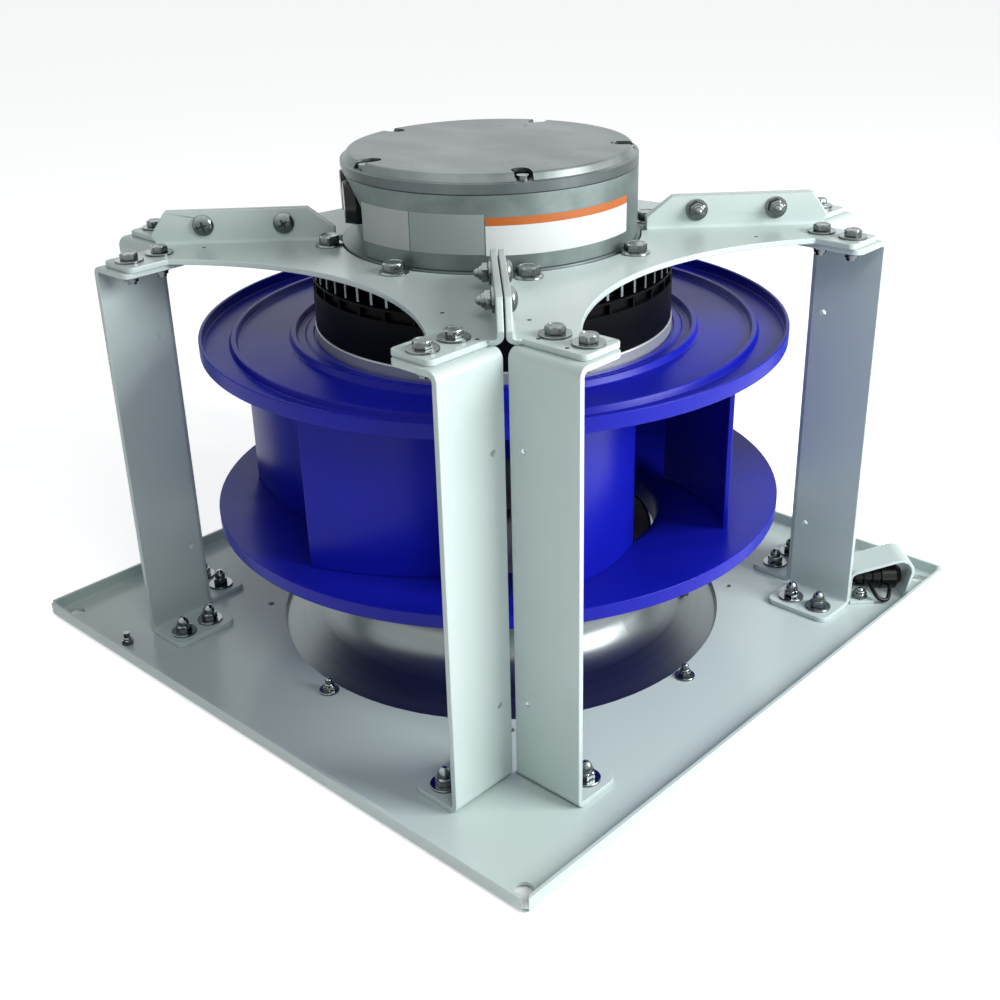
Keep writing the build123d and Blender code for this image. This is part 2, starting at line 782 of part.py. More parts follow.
# Circuit board on the housing's posts
with BuildPart() as circuit_board:
    with BuildSketch(Plane.XY.offset(spigot_top + housing_floor + board_lift)):
        Circle(board_radius)
    extrude(amount=board_thickness)
keep(circuit_board, "circuit_board")

# Lid: stepped and domed at the rim, with a pocket over each screw
shoulder_z = lid_top - lid_shoulder_drop
with BuildPart() as lid:
    with BuildSketch(Plane.XZ):
        Polygon(
            (0, lid_top),
            (lid_top_radius, lid_top),
            (lid_shoulder_radius, shoulder_z),
            (housing_radius, housing_top + lid_lip),
            (housing_radius, housing_top),
            (housing_radius - lid_rim_width, housing_top),
            (housing_radius - lid_rim_width, lid_top - lid_wall),
            (0, lid_top - lid_wall),
            align=None,
        )
    revolve(axis=Axis.Z)
    fillet(lid.faces().sort_by(Axis.Z)[-1].edges(), lid_edge_radius)
    with BuildSketch(Plane.XY.offset(shoulder_z)):
        with PolarLocations(lid_screw_radius, lid_screw_count, lid_screw_angle):
            SlotCenterToCenter(lid_pocket_radius * 2, lid_pocket_radius * 2)
    extrude(amount=lid_height, mode=Mode.SUBTRACT)
    with BuildSketch(Plane.XY.offset(housing_top)):
        with PolarLocations(lid_screw_radius, lid_screw_count, lid_screw_angle):
            Circle(small_screw_radius + seat_gap)
    extrude(amount=lid_height, mode=Mode.SUBTRACT)
    with BuildSketch(recess_plane.offset(recess_lid_wall)):
        with Locations((0, recess_centre)):
            Circle(recess_arc_radius)
    extrude(amount=recess_reach, mode=Mode.SUBTRACT)
keep(lid, "lid")

with BuildPart() as lid_screws:
    with BuildSketch(Plane.XY.offset(shoulder_z)):
        with PolarLocations(lid_screw_radius, lid_screw_count, lid_screw_angle):
            Circle(small_head_radius)
    extrude(amount=small_head_height)
    with BuildSketch(Plane.XY.offset(shoulder_z)):
        with PolarLocations(lid_screw_radius, lid_screw_count, lid_screw_angle):
            Circle(small_screw_radius)
    extrude(amount=-lid_screw_length)
keep(lid_screws, "lid_screws")

# Corner bracket: a sloping strap over the hose fitting, with a foot that sticks out at one side
corner_out = Vector(1, 1, 0).normalized()
corner_across = Vector(-1, 1, 0).normalized()
hood_near = post_face * sqrt(2) + hood_post_gap
hood_far = base_side / sqrt(2) - hood_corner_gap
hood_half = hood_sheet / 2
hood_plane = Plane(
    origin=corner_across * hood_offset + Vector(0, 0, floor),
    x_dir=corner_out,
    z_dir=-corner_across,
)
hood_plan = Plane(origin=hood_plane.origin, x_dir=corner_out, z_dir=(0, 0, 1))
with BuildPart() as corner_bracket:
    with BuildSketch(hood_plane):
        with BuildLine():
            FilletPolyline(
                (hood_near + hood_foot, hood_half),
                (hood_near + hood_half, hood_half),
                (hood_near + hood_half, hood_near_height - hood_half),
                (hood_far - hood_half, hood_height - hood_half),
                (hood_far - hood_lean - hood_half, 0),
                radius=[hood_foot_bend + hood_half, hood_near_bend + hood_half, hood_far_bend + hood_half],
            )
        trace(line_width=hood_sheet)
    extrude(amount=hood_width / 2, both=True)
    split(bisect_by=Plane.XY.offset(floor))
    with BuildSketch(hood_plan):
        with Locations((hood_near + hood_foot, -hood_width / 2)):
            Rectangle(hood_foot, hood_tab_width, align=(Align.MAX, Align.MAX))
    extrude(amount=hood_sheet)
    with BuildSketch(Plane(origin=hood_plane.origin, x_dir=corner_across, z_dir=corner_out)):
        with Locations((0, fitting_height)):
            Circle(fitting_spigot_radius + seat_gap)
    extrude(amount=hood_near + hood_sheet, mode=Mode.SUBTRACT)
keep(corner_bracket, "corner_bracket")

nut_along = hood_near + hood_foot / 2
nut_across = -hood_nut_side
nut_place = hood_plane.origin + corner_out * nut_along + corner_across * nut_across
with BuildPart() as bracket_nut:
    with BuildSketch(Plane.XY.offset(floor + hood_sheet)):
        with Locations(nut_place):
            RegularPolygon(bolt_head_across / 2, 6, major_radius=False)
    extrude(amount=nut_height)
    with BuildSketch(Plane.XY.offset(floor + hood_sheet + nut_height)):
        with Locations(nut_place):
            Circle(bolt_radius)
    extrude(amount=bolt_end)
keep(bracket_nut, "bracket_nut")

# Hose fitting: ringed body that swells into a domed boot, its spigot through the bracket's leg
fitting_start = hood_near + hood_sheet + hood_near_bend
boot_start = fitting_start + fitting_ring_count * fitting_ring_pitch
boot_end = boot_start + boot_length
boot_swell = (boot_radius - fitting_radius) / (boot_start - fitting_start)
fitting_outline = [(hood_near - hood_sheet, 0), (hood_near - hood_sheet, fitting_spigot_radius)]
fitting_outline += [(fitting_start, fitting_spigot_radius)]
for ring in range(fitting_ring_count):
    ring_start = fitting_start + ring * fitting_ring_pitch
    ring_end = ring_start + fitting_ring_pitch - fitting_groove_width
    start_radius = fitting_radius + (ring_start - fitting_start) * boot_swell
    end_radius = fitting_radius + (ring_end - fitting_start) * boot_swell
    groove_radius = end_radius - fitting_groove_depth
    fitting_outline += [(ring_start, start_radius), (ring_end, end_radius), (ring_end, groove_radius)]
    fitting_outline += [(ring_end + fitting_groove_width, groove_radius)]
fitting_outline += [(boot_start, boot_radius), (boot_end, boot_radius)]
fitting_outline += [(boot_end + boot_dome, boot_tip_radius), (boot_end + boot_dome, 0)]
with BuildPart() as hose_fitting:
    with BuildSketch(hood_plane):
        with Locations((0, fitting_height)):
            Polygon(*fitting_outline, align=None)
    revolve(axis=Axis(hood_plane.origin + Vector(0, 0, fitting_height), corner_out))
keep(hose_fitting, "hose_fitting")

# Thin hose that leaves the fitting, loops over the foot to the tray's floor and back to the boot
hose_low = hose_radius * 2
hose_route = [
    (hose_start, 0, fitting_height),
    (hose_over, -hose_side, hose_drop),
    (hose_down, -hose_reach, hose_low),
    (hose_back, -hose_side, hose_low),
    (hose_end, 0, fitting_height),
]
hose_points = [
    hood_plane.origin + corner_out * (hood_near + x) + corner_across * y + Vector(0, 0, z)
    for x, y, z in hose_route
]
with BuildPart() as hose_loop:
    with BuildLine():
        hose_line = FilletPolyline(*hose_points, radius=hose_radius * 2)
    with BuildSketch(Plane(origin=hose_line @ 0, z_dir=hose_line % 0)):
        Circle(hose_radius)
    sweep()
    add(hose_fitting.part, mode=Mode.SUBTRACT)
keep(hose_loop, "hose_loop")

# Earth stud with its nut on the tray
with BuildPart() as earth_stud:
    with BuildSketch(Plane.XY.offset(plate_bottom)):
        with Locations((-earth_across, -earth_along)):
            Circle(small_screw_radius)
    extrude(amount=plate_sheet + nut_height + washer_thickness + bolt_end)
keep(earth_stud, "earth_stud")

with BuildPart() as earth_nut:
    with BuildSketch(Plane.XY.offset(floor)):
        with Locations((-earth_across, -earth_along)):
            Circle(small_washer_radius)
            Circle(small_screw_radius + seat_gap, mode=Mode.SUBTRACT)
    extrude(amount=washer_thickness)
    with BuildSketch(Plane.XY.offset(floor + washer_thickness)):
        with Locations((-earth_across, -earth_along)):
            RegularPolygon(small_nut_across / 2, 6, major_radius=False)
            Circle(small_screw_radius + seat_gap, mode=Mode.SUBTRACT)
    extrude(amount=nut_height)
keep(earth_nut, "earth_nut")

# Rotor cup: ribbed band round the magnets, and a hub that hangs through the impeller's disc
with BuildPart() as rotor_cup:
    with BuildSketch(Plane.XZ):
        Polygon(
            (shaft_radius + seat_gap, rotor_bottom),
            (rotor_hub_radius, rotor_bottom),
            (rotor_hub_radius, band_bottom),
            (rotor_radius, band_bottom),
            (rotor_radius, band_top),
            (rotor_radius - rotor_groove_depth, band_top),
            (rotor_radius - rotor_groove_depth, groove_top),
            (rotor_radius, groove_top),
            (rotor_radius, rotor_top),
            (rotor_inner, rotor_top),
            (rotor_inner, band_bottom + rotor_shoulder),
            (rotor_hub_radius - rotor_hub_wall, band_bottom + rotor_shoulder),
            (rotor_hub_radius - rotor_hub_wall, rotor_bottom + rotor_floor),
            (rotor_boss_radius, rotor_bottom + rotor_floor),
            (rotor_boss_radius, rotor_bottom + rotor_boss_height),
            (shaft_radius + seat_gap, rotor_bottom + rotor_boss_height),
            align=None,
        )
    revolve(axis=Axis.Z)
    with BuildSketch(Plane.XY.offset(band_top)):
        with PolarLocations(rotor_radius - rotor_groove_depth / 2 - rotor_rib_recess, rotor_rib_count):
            Rectangle(rotor_groove_depth, rotor_rib_width)
    extrude(amount=rotor_groove_height)
    with BuildSketch(Plane.XY.offset(band_bottom)):
        with PolarLocations(screw_ring, motor_bolt_count):
            Circle(small_screw_radius + seat_gap)
    extrude(amount=rotor_shoulder - seat_gap, mode=Mode.SUBTRACT)
keep(rotor_cup, "rotor_cup")

# Bright ring between the impeller's disc and the rotor's band
ring_inner = rotor_hub_radius + seat_gap
with BuildPart() as rotor_ring:
    with BuildSketch(Plane.XZ):
        Polygon(
            (ring_inner, disc_top),
            (ring_radius, disc_top),
            (ring_radius, band_bottom - ring_chamfer),
            (ring_radius - ring_chamfer, band_bottom),
            (ring_inner, band_bottom),
            align=None,
        )
    revolve(axis=Axis.Z)
    with BuildSketch(Plane.XY.offset(disc_top)):
        with PolarLocations(screw_ring, motor_bolt_count):
            Circle(small_screw_radius + seat_gap)
    extrude(amount=ring_height, mode=Mode.SUBTRACT)
keep(rotor_ring, "rotor_ring")

with BuildPart() as magnet_ring:
    with BuildSketch(Plane.XY.offset(band_bottom + rotor_shoulder)):
        Circle(rotor_inner - seat_gap)
        Circle(rotor_inner - seat_gap - magnet_thickness, mode=Mode.SUBTRACT)
    extrude(amount=core_height)
keep(magnet_ring, "magnet_ring")

with BuildPart() as shaft:
    with BuildSketch(Plane.XY.offset(rotor_bottom)):
        Circle(shaft_radius)
    extrude(amount=flange_bottom + bearing_width - rotor_bottom)
keep(shaft, "shaft")

# Impeller back disc: two pressed ridges, a step round the motor and a turned-up rim
disc_rim = impeller_radius - disc_rim_wall
step_inner = ring_radius + step_height
step_outer = step_inner + step_width
ridge_outline = []
for radius in (ridge_outer_radius, ridge_inner_radius):
    ridge_outline += [
        (radius + ridge_foot_width / 2, disc_top),
        (radius + ridge_top_width / 2, disc_top + ridge_height),
        (radius - ridge_top_width / 2, disc_top + ridge_height),
        (radius - ridge_foot_width / 2, disc_top),
    ]
with BuildPart() as impeller_back_disc:
    with BuildSketch(Plane.XZ):
        Polygon(
            (ring_inner, disc_bottom),
            (impeller_radius, disc_bottom),
            (impeller_radius, disc_bottom + disc_rim_height),
            (disc_rim, disc_bottom + disc_rim_height),
            (disc_rim, disc_top),
            *ridge_outline,
            (step_outer, disc_top),
            (step_outer - step_height, disc_top + step_height),
            (step_inner, disc_top + step_height),
            (step_inner, disc_top),
            (ring_inner, disc_top),
            align=None,
        )
    revolve(axis=Axis.Z)
    with BuildSketch(Plane.XY.offset(disc_bottom)):
        with PolarLocations(screw_ring, motor_bolt_count):
            Circle(small_screw_radius + seat_gap)
    extrude(amount=disc_sheet, mode=Mode.SUBTRACT)
keep(impeller_back_disc, "impeller_back_disc")

with BuildPart() as impeller_screws:
    with BuildSketch(Plane.XY.offset(disc_bottom)):
        with PolarLocations(screw_ring, motor_bolt_count):
            Circle(small_head_radius)
    extrude(amount=-small_head_height)
    with BuildSketch(Plane.XY.offset(disc_bottom)):
        with PolarLocations(screw_ring, motor_bolt_count):
            Circle(small_screw_radius)
    extrude(amount=disc_sheet + ring_height + rotor_shoulder - seat_gap * 2)
keep(impeller_screws, "impeller_screws")

# Impeller shroud: rolled rim, shallow cone and a rounded collar over the nozzle's lip
shroud_half = shroud_sheet / 2
crease_radius = impeller_radius - shroud_crease_inset
crease_z = shroud_top - shroud_crease_drop
collar_middle = eye_radius + shroud_half
corner_z = crease_z - (crease_radius - collar_middle) * tan(radians(shroud_cone_angle))
with BuildPart() as impeller_shroud:
    with BuildSketch(Plane.XZ):
        with BuildLine():
            rim_line = Polyline(
                (impeller_radius - shroud_half, shroud_top - shroud_rim_height),
                (impeller_radius - shroud_half, shroud_top - shroud_half),
                (crease_radius, crease_z - shroud_half),
            )
            FilletPolyline(
                rim_line @ 1,
                (collar_middle, corner_z - shroud_half),
                (collar_middle, collar_bottom),
                radius=shroud_arc_radius,
            )
        trace(line_width=shroud_sheet)
    revolve(axis=Axis.Z)
keep(impeller_shroud, "impeller_shroud")

# Blades: backward-curved, welded between the shroud and the back disc
blade_low = corner_z - shroud_arc_radius
cone_slope = tan(radians(shroud_cone_angle))
blade_tip = Vector(blade_outer_radius, 0, 0)
blade_root = Vector(blade_inner_radius, 0, 0).rotate(Axis.Z, blade_wrap)
blade_chord = blade_tip - blade_root
blade_out = Vector(-blade_chord.Y, blade_chord.X, 0).normalized()
blade_middle = (blade_tip + blade_root) * 0.5 + blade_out * blade_bulge
for number in range(blade_count):
    turn = blade_phase + number * 360 / blade_count
    with BuildPart() as blade:
        with BuildSketch(Plane.XY.offset(blade_low)):
            with BuildLine():
                ThreePointArc(
                    blade_tip.rotate(Axis.Z, turn),
                    blade_middle.rotate(Axis.Z, turn),
                    blade_root.rotate(Axis.Z, turn),
                )
            trace(line_width=blade_thickness)
        extrude(amount=disc_bottom - weld_gap - blade_low)
        with BuildSketch(Plane.XZ):
            with BuildLine():
                Polyline(
                    (crease_radius, blade_low - shroud_sheet),
                    (crease_radius, crease_z + weld_gap),
                    (collar_middle, corner_z + weld_gap),
                    (collar_middle, blade_low - shroud_sheet),
                    close=True,
                )
            make_face()
        revolve(axis=Axis.Z, mode=Mode.SUBTRACT)
    keep(blade, f"blade_{number + 1}")
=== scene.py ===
import math

import bmesh
import bpy
import numpy as np
from mathutils import Matrix, Vector


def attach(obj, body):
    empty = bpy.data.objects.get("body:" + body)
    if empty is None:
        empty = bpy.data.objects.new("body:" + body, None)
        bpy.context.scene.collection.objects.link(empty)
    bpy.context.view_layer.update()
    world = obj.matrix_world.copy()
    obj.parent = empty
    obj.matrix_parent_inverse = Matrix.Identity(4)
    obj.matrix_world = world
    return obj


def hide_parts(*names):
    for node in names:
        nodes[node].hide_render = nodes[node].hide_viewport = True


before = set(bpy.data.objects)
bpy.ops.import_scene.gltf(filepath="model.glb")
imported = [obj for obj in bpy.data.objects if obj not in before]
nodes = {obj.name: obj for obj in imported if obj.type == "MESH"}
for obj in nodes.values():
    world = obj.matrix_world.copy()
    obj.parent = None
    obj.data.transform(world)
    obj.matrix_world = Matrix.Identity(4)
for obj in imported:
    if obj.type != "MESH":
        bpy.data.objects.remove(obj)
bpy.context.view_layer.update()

# Camera
# Stands in front of the tray's front corner, a little above the lid, as in the photograph:
# solved from the tray's corners, the posts' edges and the circles of the motor and impeller.
stand = Vector((0.79473, -0.83629, 0.66955))
right = Vector((0.7333, 0.6795, -0.0231)).normalized()
ahead = Vector((-0.61904, 0.65328, -0.43590)).normalized()
above = right.cross(ahead).normalized()
camera_data = bpy.data.cameras.new("camera")
camera_data.lens = 47.47
camera_data.sensor_width = 36.0
camera_data.clip_start = 0.05
camera_data.clip_end = 60.0
camera = bpy.data.objects.new("camera", camera_data)
camera.matrix_world = Matrix((
    (right.x, above.x, -ahead.x, stand.x),
    (right.y, above.y, -ahead.y, stand.y),
    (right.z, above.z, -ahead.z, stand.z),
    (0, 0, 0, 1),
))
scene = bpy.context.scene
scene.collection.objects.link(camera)
scene.camera = camera
scene.view_settings.view_transform = "Standard"


# Floor, background and lamps
# A white paper floor in a white room, which the camera and reflections see as white. The light
# on the fan is plain: one softbox at its right, weak ones high in front and low at the left, and
# the room's own. The paper doesn't glow under the tray, so that holes through the tray look dark.
def hex_rgb(text):
    """An sRGB colour such as "#c3d6d6" as linear red, green and blue, with an alpha of 1: a value
    up to 0.04045 is divided by 12.92, a larger one has 0.055 added, is divided by 1.055 and is
    raised to the power 2.4."""
    value = np.array([int(text[i:i + 2], 16) / 255 for i in (1, 3, 5)])
    linear = np.where(value <= 0.04045, value / 12.92, ((value + 0.055) / 1.055) ** 2.4)
    return (*linear.tolist(), 1.0)


def add_node(tree, kind, inputs=None, **settings):
    """Adds a node: its inputs are values, or outputs of other nodes to link from. In a Mix node
    of colours the factor is input 0, the colours are inputs 6 and 7, and the result is output 2."""
    made = tree.nodes.new(kind)
    for name, value in settings.items():
        setattr(made, name, value)
    for key, value in (inputs or {}).items():
        if isinstance(value, bpy.types.NodeSocket):
            tree.links.new(value, made.inputs[key])
        else:
            made.inputs[key].default_value = value
    return made


def empty_finish(name):
    """A new material without nodes: returns it and its tree."""
    made = bpy.data.materials.new(name)
    made.use_nodes = True
    made.node_tree.nodes.clear()
    return made, made.node_tree


def directly_seen(tree):
    """An output that is 1 for what the camera sees, directly, in a reflection or through glass,
    and 0 for light on its way to the fan: the largest of the three kinds of ray."""
    path = add_node(tree, "ShaderNodeLightPath")
    seen = add_node(tree, "ShaderNodeMath",
                    {0: path.outputs["Is Camera Ray"], 1: path.outputs["Is Glossy Ray"]}, operation="MAXIMUM")
    seen = add_node(tree, "ShaderNodeMath",
                    {0: seen.outputs[0], 1: path.outputs["Is Transmission Ray"]}, operation="MAXIMUM")
    return seen.outputs[0]


# Matt white paper: an even white without gloss. Its glow fades out just inside the tray's edge,
# which is 318 mm from the axis.
glow_ends, glow_full, paper_glow = 0.306, 0.316, 0.66
floor_paper, tree = empty_finish("white_paper")
place = add_node(tree, "ShaderNodeTexCoord").outputs["Object"]
spread = add_node(tree, "ShaderNodeVectorMath", {0: place}, operation="ABSOLUTE")
spread = add_node(tree, "ShaderNodeSeparateXYZ", {"Vector": spread.outputs[0]})
farther = add_node(tree, "ShaderNodeMath",
                   {0: spread.outputs["X"], 1: spread.outputs["Y"]}, operation="MAXIMUM")
open_floor = add_node(tree, "ShaderNodeMapRange",
                      {"Value": farther.outputs[0], "From Min": glow_ends, "From Max": glow_full,
                       "To Min": 0.0, "To Max": paper_glow})
glow = add_node(tree, "ShaderNodeMath",
                {0: directly_seen(tree), 1: open_floor.outputs[0]}, operation="MULTIPLY")
paper = add_node(tree, "ShaderNodeBsdfDiffuse", {"Color": hex_rgb("#f2f3f3")})
lit = add_node(tree, "ShaderNodeEmission", {"Color": hex_rgb("#ffffff"), "Strength": glow.outputs[0]})
both = add_node(tree, "ShaderNodeAddShader", {0: paper.outputs[0], 1: lit.outputs[0]})
add_node(tree, "ShaderNodeOutputMaterial", {"Surface": both.outputs[0]})

floor_half = 15.0
floor_corners = [(-floor_half, -floor_half, 0), (floor_half, -floor_half, 0),
                 (floor_half, floor_half, 0), (-floor_half, floor_half, 0)]
floor_mesh = bpy.data.meshes.new("studio_floor")
floor_mesh.from_pydata(floor_corners, [], [(0, 1, 2, 3)])
floor_mesh.materials.append(floor_paper)
studio_floor = bpy.data.objects.new("studio_floor", floor_mesh)
scene.collection.objects.link(studio_floor)

# The room lights the fan at 0.30 of full white and is seen at full white.
room_light, room_glow = 0.30, 0.70
world = bpy.data.worlds.new("white_room")
scene.world = world
world.use_nodes = True
tree = world.node_tree
tree.nodes.clear()
room = add_node(tree, "ShaderNodeMath",
                {0: directly_seen(tree), 1: room_glow, 2: room_light}, operation="MULTIPLY_ADD")
walls = add_node(tree, "ShaderNodeBackground", {"Color": hex_rgb("#fbfdff"), "Strength": room.outputs[0]})
add_node(tree, "ShaderNodeOutputWorld", {"Surface": walls.outputs[0]})

# Each softbox: its place and side in metres and its power in watts. All look at the impeller,
# and only the one at the right shows in glossy surfaces.
lamp_aim = Vector((0, 0, 0.15))
for lamp_name, lamp_place, side, power in (
    ("softbox_right", (1.55, 0.45, 0.95), 0.9, 38.0),
    ("softbox_high", (1.1, -0.9, 1.6), 0.7, 9.0),
    ("softbox_front", (-0.9, -1.9, 0.35), 0.8, 2.0),
):
    lamp = bpy.data.lights.new(lamp_name, "AREA")
    lamp.shape = "SQUARE"
    lamp.size = side
    lamp.energy = power
    lamp_object = bpy.data.objects.new(lamp_name, lamp)
    lamp_object.location = lamp_place
    lamp_object.rotation_euler = (lamp_aim - Vector(lamp_place)).to_track_quat("-Z", "Y").to_euler()
    lamp_object.visible_camera = False
    lamp_object.visible_glossy = lamp_name == "softbox_right"
    scene.collection.objects.link(lamp_object)

# Base tray
# A square of 3 mm steel sheet, folded up on all four sides, with a relief hole and a slit at
# each corner, powder coated in light grey after folding.

# Polyester powder coat, baked on: an even semi-gloss skin with a soft orange peel, its bumps
# 2.5 mm across, hardly cloudy over 120 mm, with a few grey specks from a noise of 1.6 mm.
powder_coat, tree = empty_finish("polyester_powder_coat")
place = add_node(tree, "ShaderNodeTexCoord").outputs["Object"]
cloud = add_node(tree, "ShaderNodeTexNoise", {"Vector": place, "Scale": 1 / 0.120, "Detail": 3.0})
tint = add_node(tree, "ShaderNodeMix",
                {0: cloud.outputs["Fac"], 6: hex_rgb("#b6c5c3"), 7: hex_rgb("#bdcbc9")}, data_type="RGBA")
grit = add_node(tree, "ShaderNodeTexNoise", {"Vector": place, "Scale": 1 / 0.0016, "Detail": 2.0})
speck = add_node(tree, "ShaderNodeMapRange",
                 {"Value": grit.outputs["Fac"], "From Min": 0.66, "From Max": 0.78,
                  "To Min": 0.0, "To Max": 0.25})
tint = add_node(tree, "ShaderNodeMix",
                {0: speck.outputs[0], 6: tint.outputs[2], 7: hex_rgb("#98a4a2")}, data_type="RGBA")
satin = add_node(tree, "ShaderNodeMapRange",
                 {"Value": cloud.outputs["Fac"], "From Min": 0.3, "From Max": 0.7,
                  "To Min": 0.20, "To Max": 0.27})
peel = add_node(tree, "ShaderNodeTexNoise", {"Vector": place, "Scale": 1 / 0.0025, "Detail": 1.0})
relief = add_node(tree, "ShaderNodeBump",
                  {"Height": peel.outputs["Fac"], "Strength": 0.10, "Distance": 0.0002})
coat = add_node(tree, "ShaderNodeBsdfPrincipled",
                {"Base Color": tint.outputs[2], "Roughness": satin.outputs[0], "IOR": 1.5, "Metallic": 0.0,
                 "Normal": relief.outputs[0]})
add_node(tree, "ShaderNodeOutputMaterial", {"Surface": coat.outputs[0]})


def eased(node_name, material, body, edge, narrow=False):
    """A copy of a node with its loose triangles merged, its flats made whole and its sharp edges
    rounded by a bevel of the edge's radius in metres, or less where narrow slits leave no room.
    Normals lean towards the larger face at each point, so that flats shade flat and edges turn."""
    mesh = nodes[node_name].data.copy()
    mesh.name = node_name + "_eased"
    work = bmesh.new()
    work.from_mesh(mesh)
    bmesh.ops.remove_doubles(work, verts=work.verts, dist=0.00001)
    bmesh.ops.dissolve_limit(work, angle_limit=math.radians(0.4), verts=work.verts, edges=work.edges)
    work.to_mesh(mesh)
    work.free()
    mesh.materials.clear()
    mesh.materials.append(material)
    mesh.polygons.foreach_set("use_smooth", np.ones(len(mesh.polygons), dtype=bool))
    made = bpy.data.objects.new(node_name + "_eased", mesh)
    scene.collection.objects.link(made)
    round_edges = made.modifiers.new("round_edges", "BEVEL")
    round_edges.width = edge
    round_edges.segments = 2
    round_edges.limit_method = "ANGLE"
    round_edges.angle_limit = math.radians(40)
    round_edges.use_clamp_overlap = narrow
    flat_faces = made.modifiers.new("flat_faces", "WEIGHTED_NORMAL")
    flat_faces.weight = 80
    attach(made, body)
    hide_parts(node_name)


eased("base_plate", powder_coat, "frame", edge=0.0006, narrow=True)


# Inlet nozzle
# A flange under the tray, a shallow cone and a bell that reaches into the impeller's eye, spun
# from one 2 mm disc of aluminium and left bare. Four M6 studs with wide washers and locking nuts
# hold it to the tray; they and its pressure tap are zinc-plated steel.
def dress(material, *node_names):
    """Gives CAD nodes a material."""
    for node_name in node_names:
        nodes[node_name].data.materials.clear()
        nodes[node_name].data.materials.append(material)


def round_axis(tree):
    """For patterns on turned pieces, three outputs: the place, its distance from the axis, which
    is the root of x squared plus y squared, and its height z."""
    place = add_node(tree, "ShaderNodeTexCoord").outputs["Object"]
    parts = add_node(tree, "ShaderNodeSeparateXYZ", {"Vector": place})
    plan = add_node(tree, "ShaderNodeCombineXYZ", {"X": parts.outputs["X"], "Y": parts.outputs["Y"]})
    reach = add_node(tree, "ShaderNodeVectorMath", {0: plan.outputs[0]}, operation="LENGTH")
    return place, reach.outputs["Value"], parts.outputs["Z"]


# Spun aluminium: bright, with rings left by the roller, duller and clearer in bands 12 mm wide.
# The real rings are 0.3 mm apart, too fine to show, so they are drawn 1.2 mm apart. They stretch
# highlights across them.
spun_aluminium, tree = empty_finish("spun_aluminium")
place, reach, height = round_axis(tree)
ring_place = add_node(tree, "ShaderNodeCombineXYZ", {"X": reach, "Y": height})
rings = add_node(tree, "ShaderNodeTexNoise",
                 {"Vector": ring_place.outputs[0], "Scale": 1 / 0.0012, "Detail": 2.0})
bands = add_node(tree, "ShaderNodeTexNoise",
                 {"Vector": ring_place.outputs[0], "Scale": 1 / 0.012, "Detail": 2.0})
tint = add_node(tree, "ShaderNodeMix",
                {0: bands.outputs["Fac"], 6: hex_rgb("#72797a"), 7: hex_rgb("#949a9b")}, data_type="RGBA")
polish = add_node(tree, "ShaderNodeMapRange",
                  {"Value": bands.outputs["Fac"], "From Min": 0.3, "From Max": 0.7,
                   "To Min": 0.28, "To Max": 0.36})
relief = add_node(tree, "ShaderNodeBump",
                  {"Height": rings.outputs["Fac"], "Strength": 0.10, "Distance": 0.0001})
across_rings = add_node(tree, "ShaderNodeTangent", direction_type="RADIAL", axis="Z")
metal = add_node(tree, "ShaderNodeBsdfPrincipled",
                 {"Base Color": tint.outputs[2], "Metallic": 1.0, "Roughness": polish.outputs[0],
                  "Anisotropic": 0.4, "Tangent": across_rings.outputs[0], "Normal": relief.outputs[0]})
add_node(tree, "ShaderNodeOutputMaterial", {"Surface": metal.outputs[0]})
dress(spun_aluminium, "inlet_nozzle")

# Zinc plate, blue passivated, on cold-formed steel, with duller patches 3 mm across where the plate
# is thinner and ripples of 2 mm. Its upright sides are darkened with a painted reflection of dark
# surroundings, which leaves the tops looking bright.
zinc_plate, tree = empty_finish("bright_zinc_plate")
place = add_node(tree, "ShaderNodeTexCoord").outputs["Object"]
patch = add_node(tree, "ShaderNodeTexNoise", {"Vector": place, "Scale": 1 / 0.003, "Detail": 2.0})
tint = add_node(tree, "ShaderNodeMix",
                {0: patch.outputs["Fac"], 6: hex_rgb("#8d9394"), 7: hex_rgb("#b9bfbe")}, data_type="RGBA")
facing_way = add_node(tree, "ShaderNodeNewGeometry").outputs["Normal"]
lean = add_node(tree, "ShaderNodeSeparateXYZ", {"Vector": facing_way})
# Painted reflection: faces that stand upright are darkened towards #3f4647, as if they reflected dark
# surroundings.
painted_reflection_upright = add_node(tree, "ShaderNodeMapRange",
                   {"Value": lean.outputs["Z"], "From Min": 0.15, "From Max": 0.70,
                    "To Min": 0.72, "To Max": 0.0})
tint = add_node(tree, "ShaderNodeMix",
                {0: painted_reflection_upright.outputs[0], 6: tint.outputs[2], 7: hex_rgb("#3f4647")}, data_type="RGBA")
polish = add_node(tree, "ShaderNodeMapRange",
                  {"Value": patch.outputs["Fac"], "From Min": 0.3, "From Max": 0.7,
                   "To Min": 0.15, "To Max": 0.25})
ripple = add_node(tree, "ShaderNodeTexNoise", {"Vector": place, "Scale": 1 / 0.0020, "Detail": 1.0})
relief = add_node(tree, "ShaderNodeBump",
                  {"Height": ripple.outputs["Fac"], "Strength": 0.10, "Distance": 0.0002})
metal = add_node(tree, "ShaderNodeBsdfPrincipled",
                 {"Base Color": tint.outputs[2], "Metallic": 1.0, "Roughness": polish.outputs[0],
                  "Normal": relief.outputs[0]})
add_node(tree, "ShaderNodeOutputMaterial", {"Surface": metal.outputs[0]})
dress(zinc_plate, "nozzle_studs", "pressure_tap")


